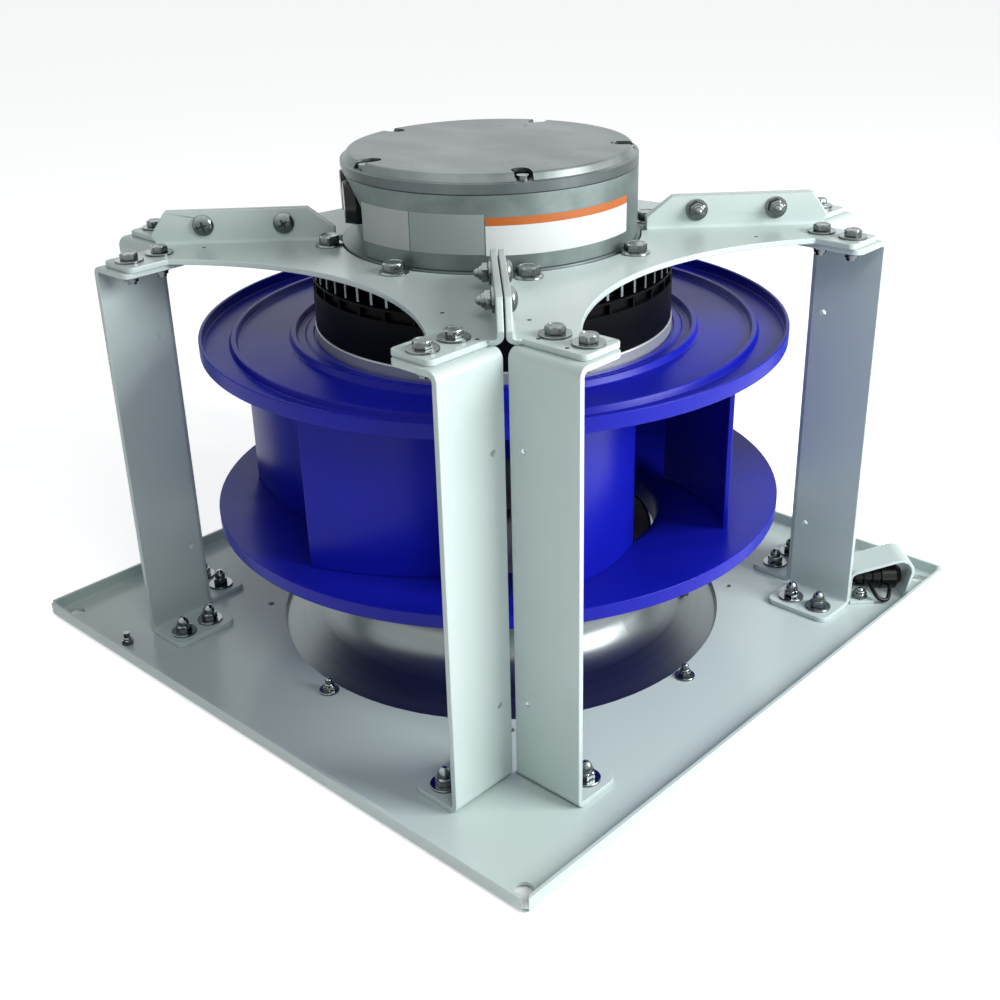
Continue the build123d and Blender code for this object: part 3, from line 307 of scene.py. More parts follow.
def turned(profile, sides=48, across=None):
    """A turned form. With the profile's steps s and the turn a, the point is r(s) cos a,
    r(s) sin a, z(s). Where across is given, r is cut to across / 2 divided by the cosine of the
    angle from the nearest flat's middle, which makes a hexagon. Both ends are closed."""
    r, z = np.array(profile, float).T
    turn = np.linspace(0, 2 * np.pi, sides, endpoint=False)
    radius = np.repeat(r[:, None], sides, axis=1)
    if across:
        radius = np.minimum(radius, across / 2 / np.cos(np.mod(turn, np.pi / 3) - np.pi / 6))
    height = np.repeat(z[:, None], sides, axis=1)
    points = np.stack([radius * np.cos(turn), radius * np.sin(turn), height], axis=-1)
    row, column = np.meshgrid(np.arange(len(r) - 1), np.arange(sides), indexing="ij")
    after = (column + 1) % sides
    quads = np.stack([row * sides + column, row * sides + after,
                      (row + 1) * sides + after, (row + 1) * sides + column], axis=-1).reshape(-1, 4)
    last = (len(r) - 1) * sides
    ends = [list(range(sides - 1, -1, -1)), list(range(last, last + sides))]
    return points.reshape(-1, 3), quads.tolist() + ends


def joined(forms):
    """Puts several forms together: their points in one list, their faces counted on."""
    starts = np.cumsum([0] + [len(points) for points, _ in forms]).tolist()
    faces = [[index + start for index in face] for (_, some), start in zip(forms, starts) for face in some]
    return np.vstack([points for points, _ in forms]), faces


def repeated(form, places):
    """Copies a form to every place: each point p becomes R p + t of the place's 4 by 4 matrix."""
    points, faces = form
    return joined([(points @ place[:3, :3].T + place[:3, 3], faces) for place in places])


def standing(x, y, z=0.0, spin=0.0):
    """A place at x, y, z, turned by spin degrees about Z."""
    c, s = math.cos(math.radians(spin)), math.sin(math.radians(spin))
    return np.array([(c, -s, 0, x), (s, c, 0, y), (0, 0, 1, z), (0, 0, 0, 1)])


def on_circle(radius, turns, z, spins):
    """Places on a circle about the axis: radius cos a, radius sin a, z for each turn a in degrees."""
    return [standing(radius * math.cos(math.radians(turn)), radius * math.sin(math.radians(turn)), z, spin)
            for turn, spin in zip(turns, spins)]


def solid(name, form, material, body, replaced=()):
    """Makes a piece from a form in millimetres; edges sharper than 35 degrees stay crisp."""
    mesh = bpy.data.meshes.new(name)
    mesh.from_pydata((form[0] * 0.001).tolist(), [], form[1])
    mesh.polygons.foreach_set("use_smooth", np.ones(len(mesh.polygons), dtype=bool))
    mesh.set_sharp_from_angle(angle=math.radians(35))
    mesh.materials.append(material)
    made = bpy.data.objects.new(name, mesh)
    scene.collection.objects.link(made)
    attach(made, body)
    if replaced:
        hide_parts(*replaced)


def washer(radius, bore, low, high):
    """A flat ring with broken edges of 0.3 mm, turned from its section."""
    edge = 0.3
    return turned([(bore, low), (radius - edge, low), (radius, low + edge), (radius, high - edge),
                   (radius - edge, high), (bore, high)], 56)


def cut_corners(across, share=0.96):
    """For a hexagon across its flats: its corners' radius, which is across over the root of 3, the
    radius of its round end, a share of across / 2, and the drop of a 30 degree cut between them,
    which is their difference times the tangent of 30 degrees."""
    corner = across / math.sqrt(3)
    end = across / 2 * share
    return corner, end, (corner - end) * math.tan(math.radians(30))


def lock_nut(across, low, high, bore, collar=0.0):
    """A hexagon with its corners cut at 30 degrees, and above it the collar of a locking ring,
    whose rim is a quarter circle of 1.4 mm radius."""
    corner, end, drop = cut_corners(across)
    profile = [(bore, low), (end, low), (corner, low + drop), (corner, high - drop), (end, high)]
    if collar:
        ring, rim_radius = across / 2 * 0.84, 1.4
        turn = np.linspace(0, np.pi / 2, 5)
        rim = np.stack([ring - rim_radius * (1 - np.cos(turn)),
                        high + collar - rim_radius * (1 - np.sin(turn))], axis=-1)
        profile += [(ring, high + 0.05), *rim.tolist(), (bore, high + collar)]
    else:
        profile += [(bore, high)]
    return turned(profile, across=across)


def stud_end(radius, low, high, pitch):
    """A threaded end: the thread's rings are a cosine wave of the pitch, 0.24 of it deep, and the
    tip is a quarter ellipse whose height is the stud's radius."""
    step = np.arange(low, high - radius, pitch / 4)
    wave = radius - 0.12 * pitch * (1 - np.cos(2 * np.pi * (step - low) / pitch))
    turn = np.linspace(0, np.pi / 2 - 0.1, 9)
    tip = np.stack([radius * 0.96 * np.cos(turn), high - radius * (1 - np.sin(turn))], axis=-1)
    return turned(np.vstack([np.stack([wave, step], axis=-1), tip]), 28)


# Every fixing is drawn in millimetres on the face it sits on, at height 0, and stands at that
# face's height. The spins, in degrees, are how far each was turned when it was tightened.
spins = np.random.default_rng(5).uniform(0, 60, 64)
tray_top = 5.0
nozzle_stud_circle = 226.0
nozzle_fixing = joined([
    washer(radius=9.0, bore=3.1, low=0.0, high=2.0),
    lock_nut(across=10.0, low=2.0, high=6.6, bore=3.1, collar=2.0),
    stud_end(radius=3.0, low=8.2, high=13.8, pitch=1.0),
])
nozzle_places = on_circle(nozzle_stud_circle, (0, 90, 180, 270), tray_top, spins[:4])
solid("nozzle_fixings", repeated(nozzle_fixing, nozzle_places), zinc_plate, "frame",
      ("nozzle_washers", "nozzle_nuts"))

# Earth stud
# A bare M6 stud of zinc-plated steel, pressed into the tray near its left corner. The earth lead
# goes on it, under a locking nut.
dress(zinc_plate, "earth_stud")
earth_fixing = joined([
    lock_nut(across=10.0, low=0.0, high=5.2, bore=3.1, collar=2.0),
    stud_end(radius=3.0, low=7.0, high=10.2, pitch=1.0),
])
earth_places = [standing(-208.0, -300.0, tray_top, 20.0)]
solid("earth_fixing", repeated(earth_fixing, earth_places), zinc_plate, "frame",
      ("earth_nut",))

# Posts
# Eight posts, two at every corner: 5 mm steel sheet folded into a channel with a flange at the
# foot and one at the top, powder coated like the tray.
for number in range(1, 9):
    eased(f"post_{number}", powder_coat, "frame", edge=0.0009)


# Fixings of the posts' feet
# M8 weld studs on the tray come up through the feet, two to a foot, under wide washers and domed
# cap nuts, all in zinc-plated steel.
def cap_nut(across, low, high, bore, dome):
    """A hexagon with its corners cut at 30 degrees under a round cap, whose section is a short
    upright wall and a quarter ellipse up to the height dome."""
    corner, end, drop = cut_corners(across)
    cap, wall_top = across / 2 * 0.84, high + 1.6
    turn = np.linspace(0, np.pi / 2 - 0.08, 11)
    top = np.stack([cap * np.cos(turn), wall_top + (dome - wall_top) * np.sin(turn)], axis=-1)
    return turned([(bore, low), (end, low), (corner, low + drop), (corner, high - drop), (end, high),
                   (cap, high + 0.2), *top.tolist()], across=across)


dress(zinc_plate, "base_studs")
foot_top = 10.0
bolt_line, near_bolt, far_bolt = 177.0, 226.5, 256.5
corner_bolts = np.array([(bolt_line, -near_bolt), (bolt_line, -far_bolt),
                         (near_bolt, -bolt_line), (far_bolt, -bolt_line)])
quarter_turn = np.array([(0, 1), (-1, 0)])
foot_points = np.vstack([corner_bolts @ np.linalg.matrix_power(quarter_turn, k) for k in range(4)])
foot_places = [standing(x, y, foot_top, spin) for (x, y), spin in zip(foot_points, spins[:16])]
foot_fixing = joined([
    washer(radius=12.0, bore=4.1, low=0.0, high=2.0),
    cap_nut(across=13.0, low=2.0, high=8.6, bore=4.1, dome=17.4),
])
solid("foot_fixings", repeated(foot_fixing, foot_places), zinc_plate, "frame",
      ("base_washers", "base_nuts"))


# Arms
# Four plates of 5 mm steel, cut round the motor and folded up along both diagonals, so that
# neighbours stand back to back as ribs, with five pilot holes in each; powder coated.
def grained_finish(name, grain, colours, bump, skin, detail=3.0):
    """An even finish with one grain: a noise of the grain's size in metres mixes the darker and
    the paler colour and, where bump isn't 0, raises the skin by up to 0.2 mm times bump."""
    finish, tree = empty_finish(name)
    place = add_node(tree, "ShaderNodeTexCoord").outputs["Object"]
    speckle = add_node(tree, "ShaderNodeTexNoise", {"Vector": place, "Scale": 1 / grain, "Detail": detail})
    tint = add_node(tree, "ShaderNodeMix",
                    {0: speckle.outputs["Fac"], 6: hex_rgb(colours[0]), 7: hex_rgb(colours[1])},
                    data_type="RGBA")
    surface = add_node(tree, "ShaderNodeBsdfPrincipled", {"Base Color": tint.outputs[2], **skin})
    if bump:
        relief = add_node(tree, "ShaderNodeBump",
                          {"Height": speckle.outputs["Fac"], "Strength": bump, "Distance": 0.0002})
        tree.links.new(relief.outputs[0], surface.inputs["Normal"])
    add_node(tree, "ShaderNodeOutputMaterial", {"Surface": surface.outputs[0]})
    return finish


for number in range(1, 5):
    eased(f"arm_{number}", powder_coat, "frame", edge=0.0009)

# Painted shade at the bottom of a small hole: nearly black, with a grain of 1 mm, because no
# light gets in.
recess_painted_shade = grained_finish("painted_shade_recess", 0.001, ("#1a1d1e", "#2e3334"), 0.0,
                             {"Roughness": 0.6, "Metallic": 0.3}, detail=2.0)

# The pilot holes of 2.5 mm are drawn as small pits of painted shade with a low raised lip.
arm_top = 374.0
pilot_pit = turned([(0.2, 0.02), (0.9, 0.03), (1.25, 0.12), (1.55, 0.10), (1.75, 0.0)], 24)
pilot_points = ((129.8, -190.7), (190.6, -217.4), (190.4, -163.2), (222.8, -190.4), (250.3, -192.4))
pilot_places = [standing(0, 0, arm_top, 90 * k) @ standing(x, y) for k in range(4) for x, y in pilot_points]
solid("pilot_holes", repeated(pilot_pit, pilot_places), recess_painted_shade, "frame")


# Bolts of the arms
# M8 hexagon bolts with wide washers clamp the arms' feet on the posts' top flanges, with locking
# nuts underneath, all in zinc-plated steel.
def bolt_head(across, low, high, shank, foot):
    """A hexagon head, its top cut round at 30 degrees and dished by half a millimetre, on a shank
    of the radius shank down to foot."""
    corner, end, drop = cut_corners(across, share=0.95)
    return turned([(shank, foot), (shank, low), (end, low), (corner, low + drop * 0.4), (corner, high - drop),
                   (end, high), (end * 0.86, high), (end * 0.8, high - 0.5), (1.0, high - 0.55)],
                  across=across)


nut_ring = turned([(5.6, -16.8), (5.6, -14.4)], 40)
arm_bolt = joined([
    bolt_head(across=13.0, low=2.0, high=7.5, shank=3.95, foot=-19.5),
    washer(radius=12.0, bore=4.0, low=0.0, high=2.0),
    lock_nut(across=13.0, low=-14.5, high=-10.0, bore=4.0),
    nut_ring,
])
arm_bolt_places = [standing(x, y, arm_top, spin) for (x, y), spin in zip(foot_points, spins[16:32])]
solid("arm_bolts", repeated(arm_bolt, arm_bolt_places), zinc_plate, "frame",
      ("top_bolts", "top_washers", "top_nuts"))


# Screws of the ribs
# Two M8 pan-head screws with cross recesses clamp each pair of ribs back to back, with washers
# and locking nuts behind, all in zinc-plated steel.
def facing(point, direction, spin=0.0):
    """A place whose Z looks along a level direction, with its X turned by spin degrees."""
    z = np.array([direction[0], direction[1], 0.0])
    x = np.array([0.0, 0.0, 1.0])
    matrix = np.eye(4)
    matrix[:3, :3] = np.stack([x, np.cross(z, x), z], axis=-1)
    matrix[:3, 3] = point
    return matrix @ standing(0, 0, 0, spin)


def cross_recess(length, width, depth, top):
    """The cross of a driver recess in painted shade, as two crossed tapering slots set in the head:
    over u along and v across, from -1 to 1, a slot is length times u, width times v times 1.05 less
    half of u's size, and top less depth times u to the power 4, so it falls with the head's dome."""
    u, v = np.meshgrid(np.linspace(-1, 1, 9), np.linspace(-1, 1, 5), indexing="ij")
    z = top - depth * u ** 4
    slot = np.stack([u * length, v * width * (1.05 - 0.5 * np.abs(u)), z], axis=-1).reshape(-1, 3)
    row, column = np.meshgrid(np.arange(8), np.arange(4), indexing="ij")
    quads = np.stack([row * 5 + column, (row + 1) * 5 + column,
                      (row + 1) * 5 + column + 1, row * 5 + column + 1], axis=-1).reshape(-1, 4).tolist()
    crossing = slot[:, [1, 0, 2]] * np.array([-1, 1, 1])
    return joined([(slot, quads), (crossing, quads)])


# The screws stand 181 and 251 mm from the axis, and a pair of ribs with its gap is 11.2 mm thick.
rib_screw_height, rib_face = 390.0, 5.6
head_places, nut_places = [], []
for k in range(4):
    turn = math.radians(-45 + 90 * k)
    outward = np.array([math.cos(turn), math.sin(turn), 0.0])
    side = np.array([math.sin(turn), -math.cos(turn), 0.0])
    for m, distance in enumerate((181.0, 251.0)):
        middle = outward * distance + np.array([0, 0, rib_screw_height])
        head_places.append(facing(middle - side * rib_face, -side, spins[40 + 2 * k + m]))
        nut_places.append(facing(middle + side * rib_face, side, spins[48 + 2 * k + m]))

# The head's dome is part of an ellipse, 9.3 mm in radius and 5 mm high.
dome_turn = np.linspace(0, 1.2, 10)
dome = np.stack([9.3 * np.cos(dome_turn), 0.9 + 5.0 * np.sin(dome_turn)], axis=-1)
pan_head = turned([(4.0, -0.2), (9.0, 0.0), *dome.tolist(), (0.8, 5.62)], 56)
solid("rib_screws", repeated(pan_head, head_places), zinc_plate, "frame", ("fin_screws",))
rib_nut = joined([
    washer(radius=9.6, bore=4.0, low=0.0, high=2.0),
    lock_nut(across=13.0, low=2.0, high=7.4, bore=4.1, collar=2.2),
    stud_end(radius=4.0, low=9.0, high=13.6, pitch=1.25),
])
solid("rib_nuts", repeated(rib_nut, nut_places), zinc_plate, "frame", ("fin_nuts",))
# The cross recesses are painted shade: nearly black slots set in the heads.
recess = cross_recess(length=4.2, width=1.3, depth=0.28, top=5.69)
solid("rib_screw_recesses", repeated(recess, head_places), recess_painted_shade, "frame")

# Motor bolts
# Eight M10 hexagon bolts of zinc-plated steel, on domed spring washers, go through the arms and
# are screwed into the stator flange.
motor_bolt_circle = 143.0
motor_bolt_turns = [10 + 45 * k for k in range(8)]
spring_washer = turned([(4.9, 0.0), (12.0, 0.0), (12.4, 0.5), (12.2, 1.2), (10.2, 2.3), (4.9, 2.3)], 56)
motor_bolt = joined([bolt_head(across=17.0, low=2.2, high=9.0, shank=4.9, foot=-12.0), spring_washer])
motor_places = on_circle(motor_bolt_circle, motor_bolt_turns, arm_top, spins[32:40])
solid("motor_fixings", repeated(motor_bolt, motor_places), zinc_plate, "frame",
      ("motor_bolts", "motor_washers"))

# Inside the motor
# Hidden in normal use: a ground steel shaft in steel bearings, a core of stacked sheets, magnets,
# and copper coils set in dark brown resin.

# Ground steel: even grey, with a grain of 2 mm that shows only close to.
ground_steel = grained_finish("ground_steel", 0.002, ("#5f6263", "#808384"), 0.1,
                              {"Metallic": 1.0, "Roughness": 0.35})
dress(ground_steel, "shaft", "bearing_upper", "bearing_lower", "stator_core", "magnet_ring")

# Resin-dipped copper wire: nearly black brown, glossy, with turns 1.5 mm apart.
dipped_copper, tree = empty_finish("resin_dipped_copper")
place = add_node(tree, "ShaderNodeTexCoord").outputs["Object"]
wires = add_node(tree, "ShaderNodeTexWave", {"Vector": place, "Scale": 0.5 / 0.0015, "Distortion": 1.0},
                 bands_direction="Z")
tint = add_node(tree, "ShaderNodeMix",
                {0: wires.outputs["Fac"], 6: hex_rgb("#140a06"), 7: hex_rgb("#351b10")}, data_type="RGBA")
relief = add_node(tree, "ShaderNodeBump",
                  {"Height": wires.outputs["Fac"], "Strength": 0.4, "Distance": 0.0004})
resin = add_node(tree, "ShaderNodeBsdfPrincipled",
                 {"Base Color": tint.outputs[2], "Roughness": 0.3, "IOR": 1.55, "Normal": relief.outputs[0]})
add_node(tree, "ShaderNodeOutputMaterial", {"Surface": resin.outputs[0]})
dress(dipped_copper, "windings")

# Stator flange
# The motor's fixed end: a die-cast aluminium flange with a ring of cooling fins under the arms,
# painted black, its fins' outer edges turned bright after painting and its top masked.

# Satin black paint on a casting: a deep, fine skin with a grain of 1 mm. The metal is bare from
# 159 mm outwards, where the fins were turned, and above 370 mm, on the masked top.
turned_from, masked_from = 0.1590, 0.3700
black_casting, tree = empty_finish("black_painted_casting")
place, reach, height = round_axis(tree)
turned_off = add_node(tree, "ShaderNodeMapRange",
                      {"Value": reach, "From Min": turned_from, "From Max": turned_from + 0.0004,
                       "To Min": 0.0, "To Max": 1.0})
masked_off = add_node(tree, "ShaderNodeMapRange",
                      {"Value": height, "From Min": masked_from, "From Max": masked_from + 0.0002,
                       "To Min": 0.0, "To Max": 1.0})
bare = add_node(tree, "ShaderNodeMath",
                {0: turned_off.outputs[0], 1: masked_off.outputs[0]}, operation="MAXIMUM")
grain = add_node(tree, "ShaderNodeTexNoise", {"Vector": place, "Scale": 1 / 0.001, "Detail": 3.0})
paint = add_node(tree, "ShaderNodeMix",
                 {0: grain.outputs["Fac"], 6: hex_rgb("#060708"), 7: hex_rgb("#0e1012")}, data_type="RGBA")
tint = add_node(tree, "ShaderNodeMix",
                {0: bare.outputs[0], 6: paint.outputs[2], 7: hex_rgb("#7f8889")}, data_type="RGBA")
relief = add_node(tree, "ShaderNodeBump",
                  {"Height": grain.outputs["Fac"], "Strength": 0.15, "Distance": 0.0002})
skin = add_node(tree, "ShaderNodeBsdfPrincipled",
                {"Base Color": tint.outputs[2], "Metallic": bare.outputs[0], "Roughness": 0.42, "IOR": 1.45,
                 "Specular IOR Level": 0.12, "Normal": relief.outputs[0]})
add_node(tree, "ShaderNodeOutputMaterial", {"Surface": skin.outputs[0]})
dress(black_casting, "stator_flange")

# Rotor
# The motor's turning cup, cast in aluminium and painted black, with a groove and small ribs
# above its smooth band.

# Baked satin black enamel: smooth and deep, with a very soft sheen and a grain of 1.2 mm.
black_enamel = grained_finish("satin_black_enamel", 0.0012, ("#050607", "#0a0c0e"), 0.08,
                              {"Roughness": 0.42, "IOR": 1.45, "Specular IOR Level": 0.10})
dress(black_enamel, "rotor_cup")

# Bright ring
# A turned aluminium ring under the rotor's black band. It clamps the impeller's back disc to the
# rotor.

# Turned aluminium, dulled by its oxide skin: a soft pale grey with tool rings, really 0.1 mm apart,
# drawn 0.8 mm apart so that they show.
turned_aluminium, tree = empty_finish("turned_aluminium")
place, reach, height = round_axis(tree)
ring_place = add_node(tree, "ShaderNodeCombineXYZ", {"X": reach, "Y": height})
rings = add_node(tree, "ShaderNodeTexNoise",
                 {"Vector": ring_place.outputs[0], "Scale": 1 / 0.0008, "Detail": 2.0})
tint = add_node(tree, "ShaderNodeMix",
                {0: rings.outputs["Fac"], 6: hex_rgb("#a6aaac"), 7: hex_rgb("#ced1d2")}, data_type="RGBA")
relief = add_node(tree, "ShaderNodeBump",
                  {"Height": rings.outputs["Fac"], "Strength": 0.15, "Distance": 0.0001})
metal = add_node(tree, "ShaderNodeBsdfPrincipled",
                 {"Base Color": tint.outputs[2], "Metallic": 0.75, "Roughness": 0.45,
                  "Normal": relief.outputs[0]})
add_node(tree, "ShaderNodeOutputMaterial", {"Surface": metal.outputs[0]})
eased("rotor_ring", turned_aluminium, "rotor", edge=0.0005)

# Impeller
# A back disc with two pressed ridges, seven backward-curved blades and a shroud with a collar,
# moulded in blue glass-filled nylon and welded together. Plated screws hold it to the rotor.

# Glass-filled polyamide: deep ultramarine with a soft satin skin, flow marks 80 mm long, a fine
# grain of 1.5 mm and a thin, pale haze of dust on the faces that look up.
blue_nylon, tree = empty_finish("moulded_blue_nylon")
place = add_node(tree, "ShaderNodeTexCoord").outputs["Object"]
flow = add_node(tree, "ShaderNodeTexNoise", {"Vector": place, "Scale": 1 / 0.080, "Detail": 3.0})
tint = add_node(tree, "ShaderNodeMix",
                {0: flow.outputs["Fac"], 6: hex_rgb("#0a108c"), 7: hex_rgb("#1219a6")}, data_type="RGBA")
grain = add_node(tree, "ShaderNodeTexNoise", {"Vector": place, "Scale": 1 / 0.0015, "Detail": 3.0})
facing_way = add_node(tree, "ShaderNodeNewGeometry").outputs["Normal"]
lean = add_node(tree, "ShaderNodeSeparateXYZ", {"Vector": facing_way})
dusty = add_node(tree, "ShaderNodeMapRange",
                 {"Value": lean.outputs["Z"], "From Min": 0.6, "From Max": 1.0,
                  "To Min": 0.0, "To Max": 0.02})
haze = add_node(tree, "ShaderNodeMath", {0: dusty.outputs[0], 1: grain.outputs["Fac"]}, operation="MULTIPLY")
tint = add_node(tree, "ShaderNodeMix",
                {0: haze.outputs[0], 6: tint.outputs[2], 7: hex_rgb("#7078b0")}, data_type="RGBA")
satin = add_node(tree, "ShaderNodeMapRange",
                 {"Value": flow.outputs["Fac"], "From Min": 0.3, "From Max": 0.7,
                  "To Min": 0.28, "To Max": 0.35})
relief = add_node(tree, "ShaderNodeBump",
                  {"Height": grain.outputs["Fac"], "Strength": 0.06, "Distance": 0.0002})
nylon = add_node(tree, "ShaderNodeBsdfPrincipled",
                 {"Base Color": tint.outputs[2], "Roughness": satin.outputs[0], "IOR": 1.53,
                  "Specular IOR Level": 0.16, "Normal": relief.outputs[0]})
add_node(tree, "ShaderNodeOutputMaterial", {"Surface": nylon.outputs[0]})
for node_name in ("impeller_back_disc", "impeller_shroud", *(f"blade_{number}" for number in range(1, 8))):
    eased(node_name, blue_nylon, "rotor", edge=0.0008)
dress(zinc_plate, "impeller_screws")

# Electronics housing
# A round pot of die-cast aluminium on the stator flange, left raw, with a recess at the left for
# the cable glands.

# Raw die casting: blue-grey, darkened as a painted reflection of the dark surroundings that the
# upright wall faces, with cloudy flow marks 25 mm across and a skin with 2 mm grain.
die_cast_painted_dark, tree = empty_finish("raw_die_cast_painted_dark")
place = add_node(tree, "ShaderNodeTexCoord").outputs["Object"]
flow = add_node(tree, "ShaderNodeTexNoise",
                {"Vector": place, "Scale": 1 / 0.025, "Detail": 5.0, "Roughness": 0.6})
cloud = add_node(tree, "ShaderNodeMapRange",
                 {"Value": flow.outputs["Fac"], "From Min": 0.35, "From Max": 0.65,
                  "To Min": 0.0, "To Max": 1.0})
# Painted reflection: both colours are darker than the bare metal, standing for the dark surroundings the
# upright wall reflects.
tint = add_node(tree, "ShaderNodeMix",
                {0: cloud.outputs[0], 6: hex_rgb("#65716f"), 7: hex_rgb("#788483")}, data_type="RGBA")
grain = add_node(tree, "ShaderNodeTexNoise", {"Vector": place, "Scale": 1 / 0.002, "Detail": 3.0})
polish = add_node(tree, "ShaderNodeMapRange",
                  {"Value": flow.outputs["Fac"], "From Min": 0.3, "From Max": 0.7,
                   "To Min": 0.50, "To Max": 0.60})
relief = add_node(tree, "ShaderNodeBump",
                  {"Height": grain.outputs["Fac"], "Strength": 0.12, "Distance": 0.0002})
metal = add_node(tree, "ShaderNodeBsdfPrincipled",
                 {"Base Color": tint.outputs[2], "Metallic": 0.85, "Roughness": polish.outputs[0],
                  "Normal": relief.outputs[0]})
add_node(tree, "ShaderNodeOutputMaterial", {"Surface": metal.outputs[0]})
eased("electronics_housing", die_cast_painted_dark, "frame", edge=0.0006)

# Circuit board
# A board of glass epoxy on posts inside the housing, hidden by the lid, coated with green solder
# mask.

# Solder mask: glossy dark green, mottled over 3 mm.
solder_mask = grained_finish("green_solder_mask", 0.003, ("#0f3d1c", "#175227"), 0.0,
                             {"Roughness": 0.3, "IOR": 1.55})
dress(solder_mask, "circuit_board")

# Cable glands
# Two glands screwed side by side into the housing's recess: ribbed cap nuts on hexagon bodies,
# moulded in black polyamide.

# Glass-filled black polyamide: deep black with a tight sheen, moulding grain of 1 mm.
black_nylon = grained_finish("moulded_black_nylon", 0.001, ("#050506", "#0c0d0e"), 0.12,
                             {"Roughness": 0.24, "IOR": 1.53, "Specular IOR Level": 0.3})
dress(black_nylon, "gland_bodies", "gland_nuts")

# Lid
# A shallow die-cast aluminium cap on the housing, its top ground, and lighter than the housing's
# wall, whose colour is a painted dark reflection; held by five zinc-plated screws in open pockets.

# Ground casting: grey with smears 90 mm long, at 20 degrees to the tray's side, and dark pits 4 mm
# wide. Its upright side is darkened with a painted reflection of dark surroundings, and a painted
# shadow of the gap, a dark line 1 mm high, lies where it meets the housing, at a height of 0.4360 m.
shadow_line_full, shadow_line_ends = 0.4364, 0.4370
ground_cast, tree = empty_finish("ground_die_casting")
place = add_node(tree, "ShaderNodeTexCoord").outputs["Object"]
stretch = add_node(tree, "ShaderNodeMapping",
                   {"Vector": place, "Scale": (1.0, 1.7, 1.0), "Rotation": (0.0, 0.0, math.radians(20))})
smear = add_node(tree, "ShaderNodeTexNoise",
                 {"Vector": stretch.outputs[0], "Scale": 1 / 0.090, "Detail": 6.0, "Roughness": 0.5})
shade = add_node(tree, "ShaderNodeMapRange",
                 {"Value": smear.outputs["Fac"], "From Min": 0.35, "From Max": 0.68,
                  "To Min": 0.0, "To Max": 1.0})
tint = add_node(tree, "ShaderNodeMix",
                {0: shade.outputs[0], 6: hex_rgb("#687070"), 7: hex_rgb("#979e9c")}, data_type="RGBA")
pits = add_node(tree, "ShaderNodeTexNoise", {"Vector": place, "Scale": 1 / 0.012, "Detail": 2.0})
pit = add_node(tree, "ShaderNodeMapRange",
               {"Value": pits.outputs["Fac"], "From Min": 0.71, "From Max": 0.76,
                "To Min": 0.0, "To Max": 0.7})
tint = add_node(tree, "ShaderNodeMix",
                {0: pit.outputs[0], 6: tint.outputs[2], 7: hex_rgb("#4c5352")}, data_type="RGBA")
facing_way = add_node(tree, "ShaderNodeNewGeometry").outputs["Normal"]
lean = add_node(tree, "ShaderNodeSeparateXYZ", {"Vector": facing_way})
# Painted reflection: upright faces are darkened towards #485154.
painted_reflection_upright = add_node(tree, "ShaderNodeMapRange",
                   {"Value": lean.outputs["Z"], "From Min": 0.05, "From Max": 0.45,
                    "To Min": 0.70, "To Max": 0.0})
tint = add_node(tree, "ShaderNodeMix",
                {0: painted_reflection_upright.outputs[0], 6: tint.outputs[2], 7: hex_rgb("#485154")}, data_type="RGBA")
parts = add_node(tree, "ShaderNodeSeparateXYZ", {"Vector": place})
# Painted shadow of the gap between lid and housing: the lid's foot is darkened towards #15191b.
painted_gap_shadow = add_node(tree, "ShaderNodeMapRange",
                {"Value": parts.outputs["Z"], "From Min": shadow_line_full, "From Max": shadow_line_ends,
                 "To Min": 0.85, "To Max": 0.0})
tint = add_node(tree, "ShaderNodeMix",
                {0: painted_gap_shadow.outputs[0], 6: tint.outputs[2], 7: hex_rgb("#15191b")}, data_type="RGBA")
polish = add_node(tree, "ShaderNodeMapRange",
                  {"Value": smear.outputs["Fac"], "From Min": 0.3, "From Max": 0.7,
                   "To Min": 0.30, "To Max": 0.44})
grain = add_node(tree, "ShaderNodeTexNoise", {"Vector": place, "Scale": 1 / 0.0018, "Detail": 3.0})
relief = add_node(tree, "ShaderNodeBump",
                  {"Height": grain.outputs["Fac"], "Strength": 0.10, "Distance": 0.0002})
metal = add_node(tree, "ShaderNodeBsdfPrincipled",
                 {"Base Color": tint.outputs[2], "Metallic": 0.9, "Roughness": polish.outputs[0],
                  "Normal": relief.outputs[0]})
add_node(tree, "ShaderNodeOutputMaterial", {"Surface": metal.outputs[0]})
eased("lid", ground_cast, "frame", edge=0.0008, narrow=True)
dress(zinc_plate, "lid_screws")

# Stickers
# Three blank printed polyester films, glued on the housing's wall, the right one with a plain
# orange band along its top.
wall_radius, film_lift = 128.5, 0.25  # millimetres
band_from = 0.4119  # metres


def wall_film(first, last, low, high, steps=60):
    """A film on the round wall: the point is r(s) cos a, r(s) sin a, z(s) for turns a from first
    to last in degrees and a section s that rises from the wall to the film's face, runs up from
    low to high and returns to the wall."""
    turn = np.radians(np.linspace(first, last, steps))
    face = wall_radius + film_lift
    r = np.array([wall_radius + 0.02, face, face, wall_radius + 0.02])
    z = np.array([low, low + 0.1, high - 0.1, high])
    height = np.repeat(z[:, None], steps, axis=1)
    points = np.stack([np.outer(r, np.cos(turn)), np.outer(r, np.sin(turn)), height], axis=-1).reshape(-1, 3)
    row, column = np.meshgrid(np.arange(3), np.arange(steps - 1), indexing="ij")
    quads = np.stack([row * steps + column, row * steps + column + 1,
                      (row + 1) * steps + column + 1, (row + 1) * steps + column], axis=-1).reshape(-1, 4)
    return points, quads.tolist()


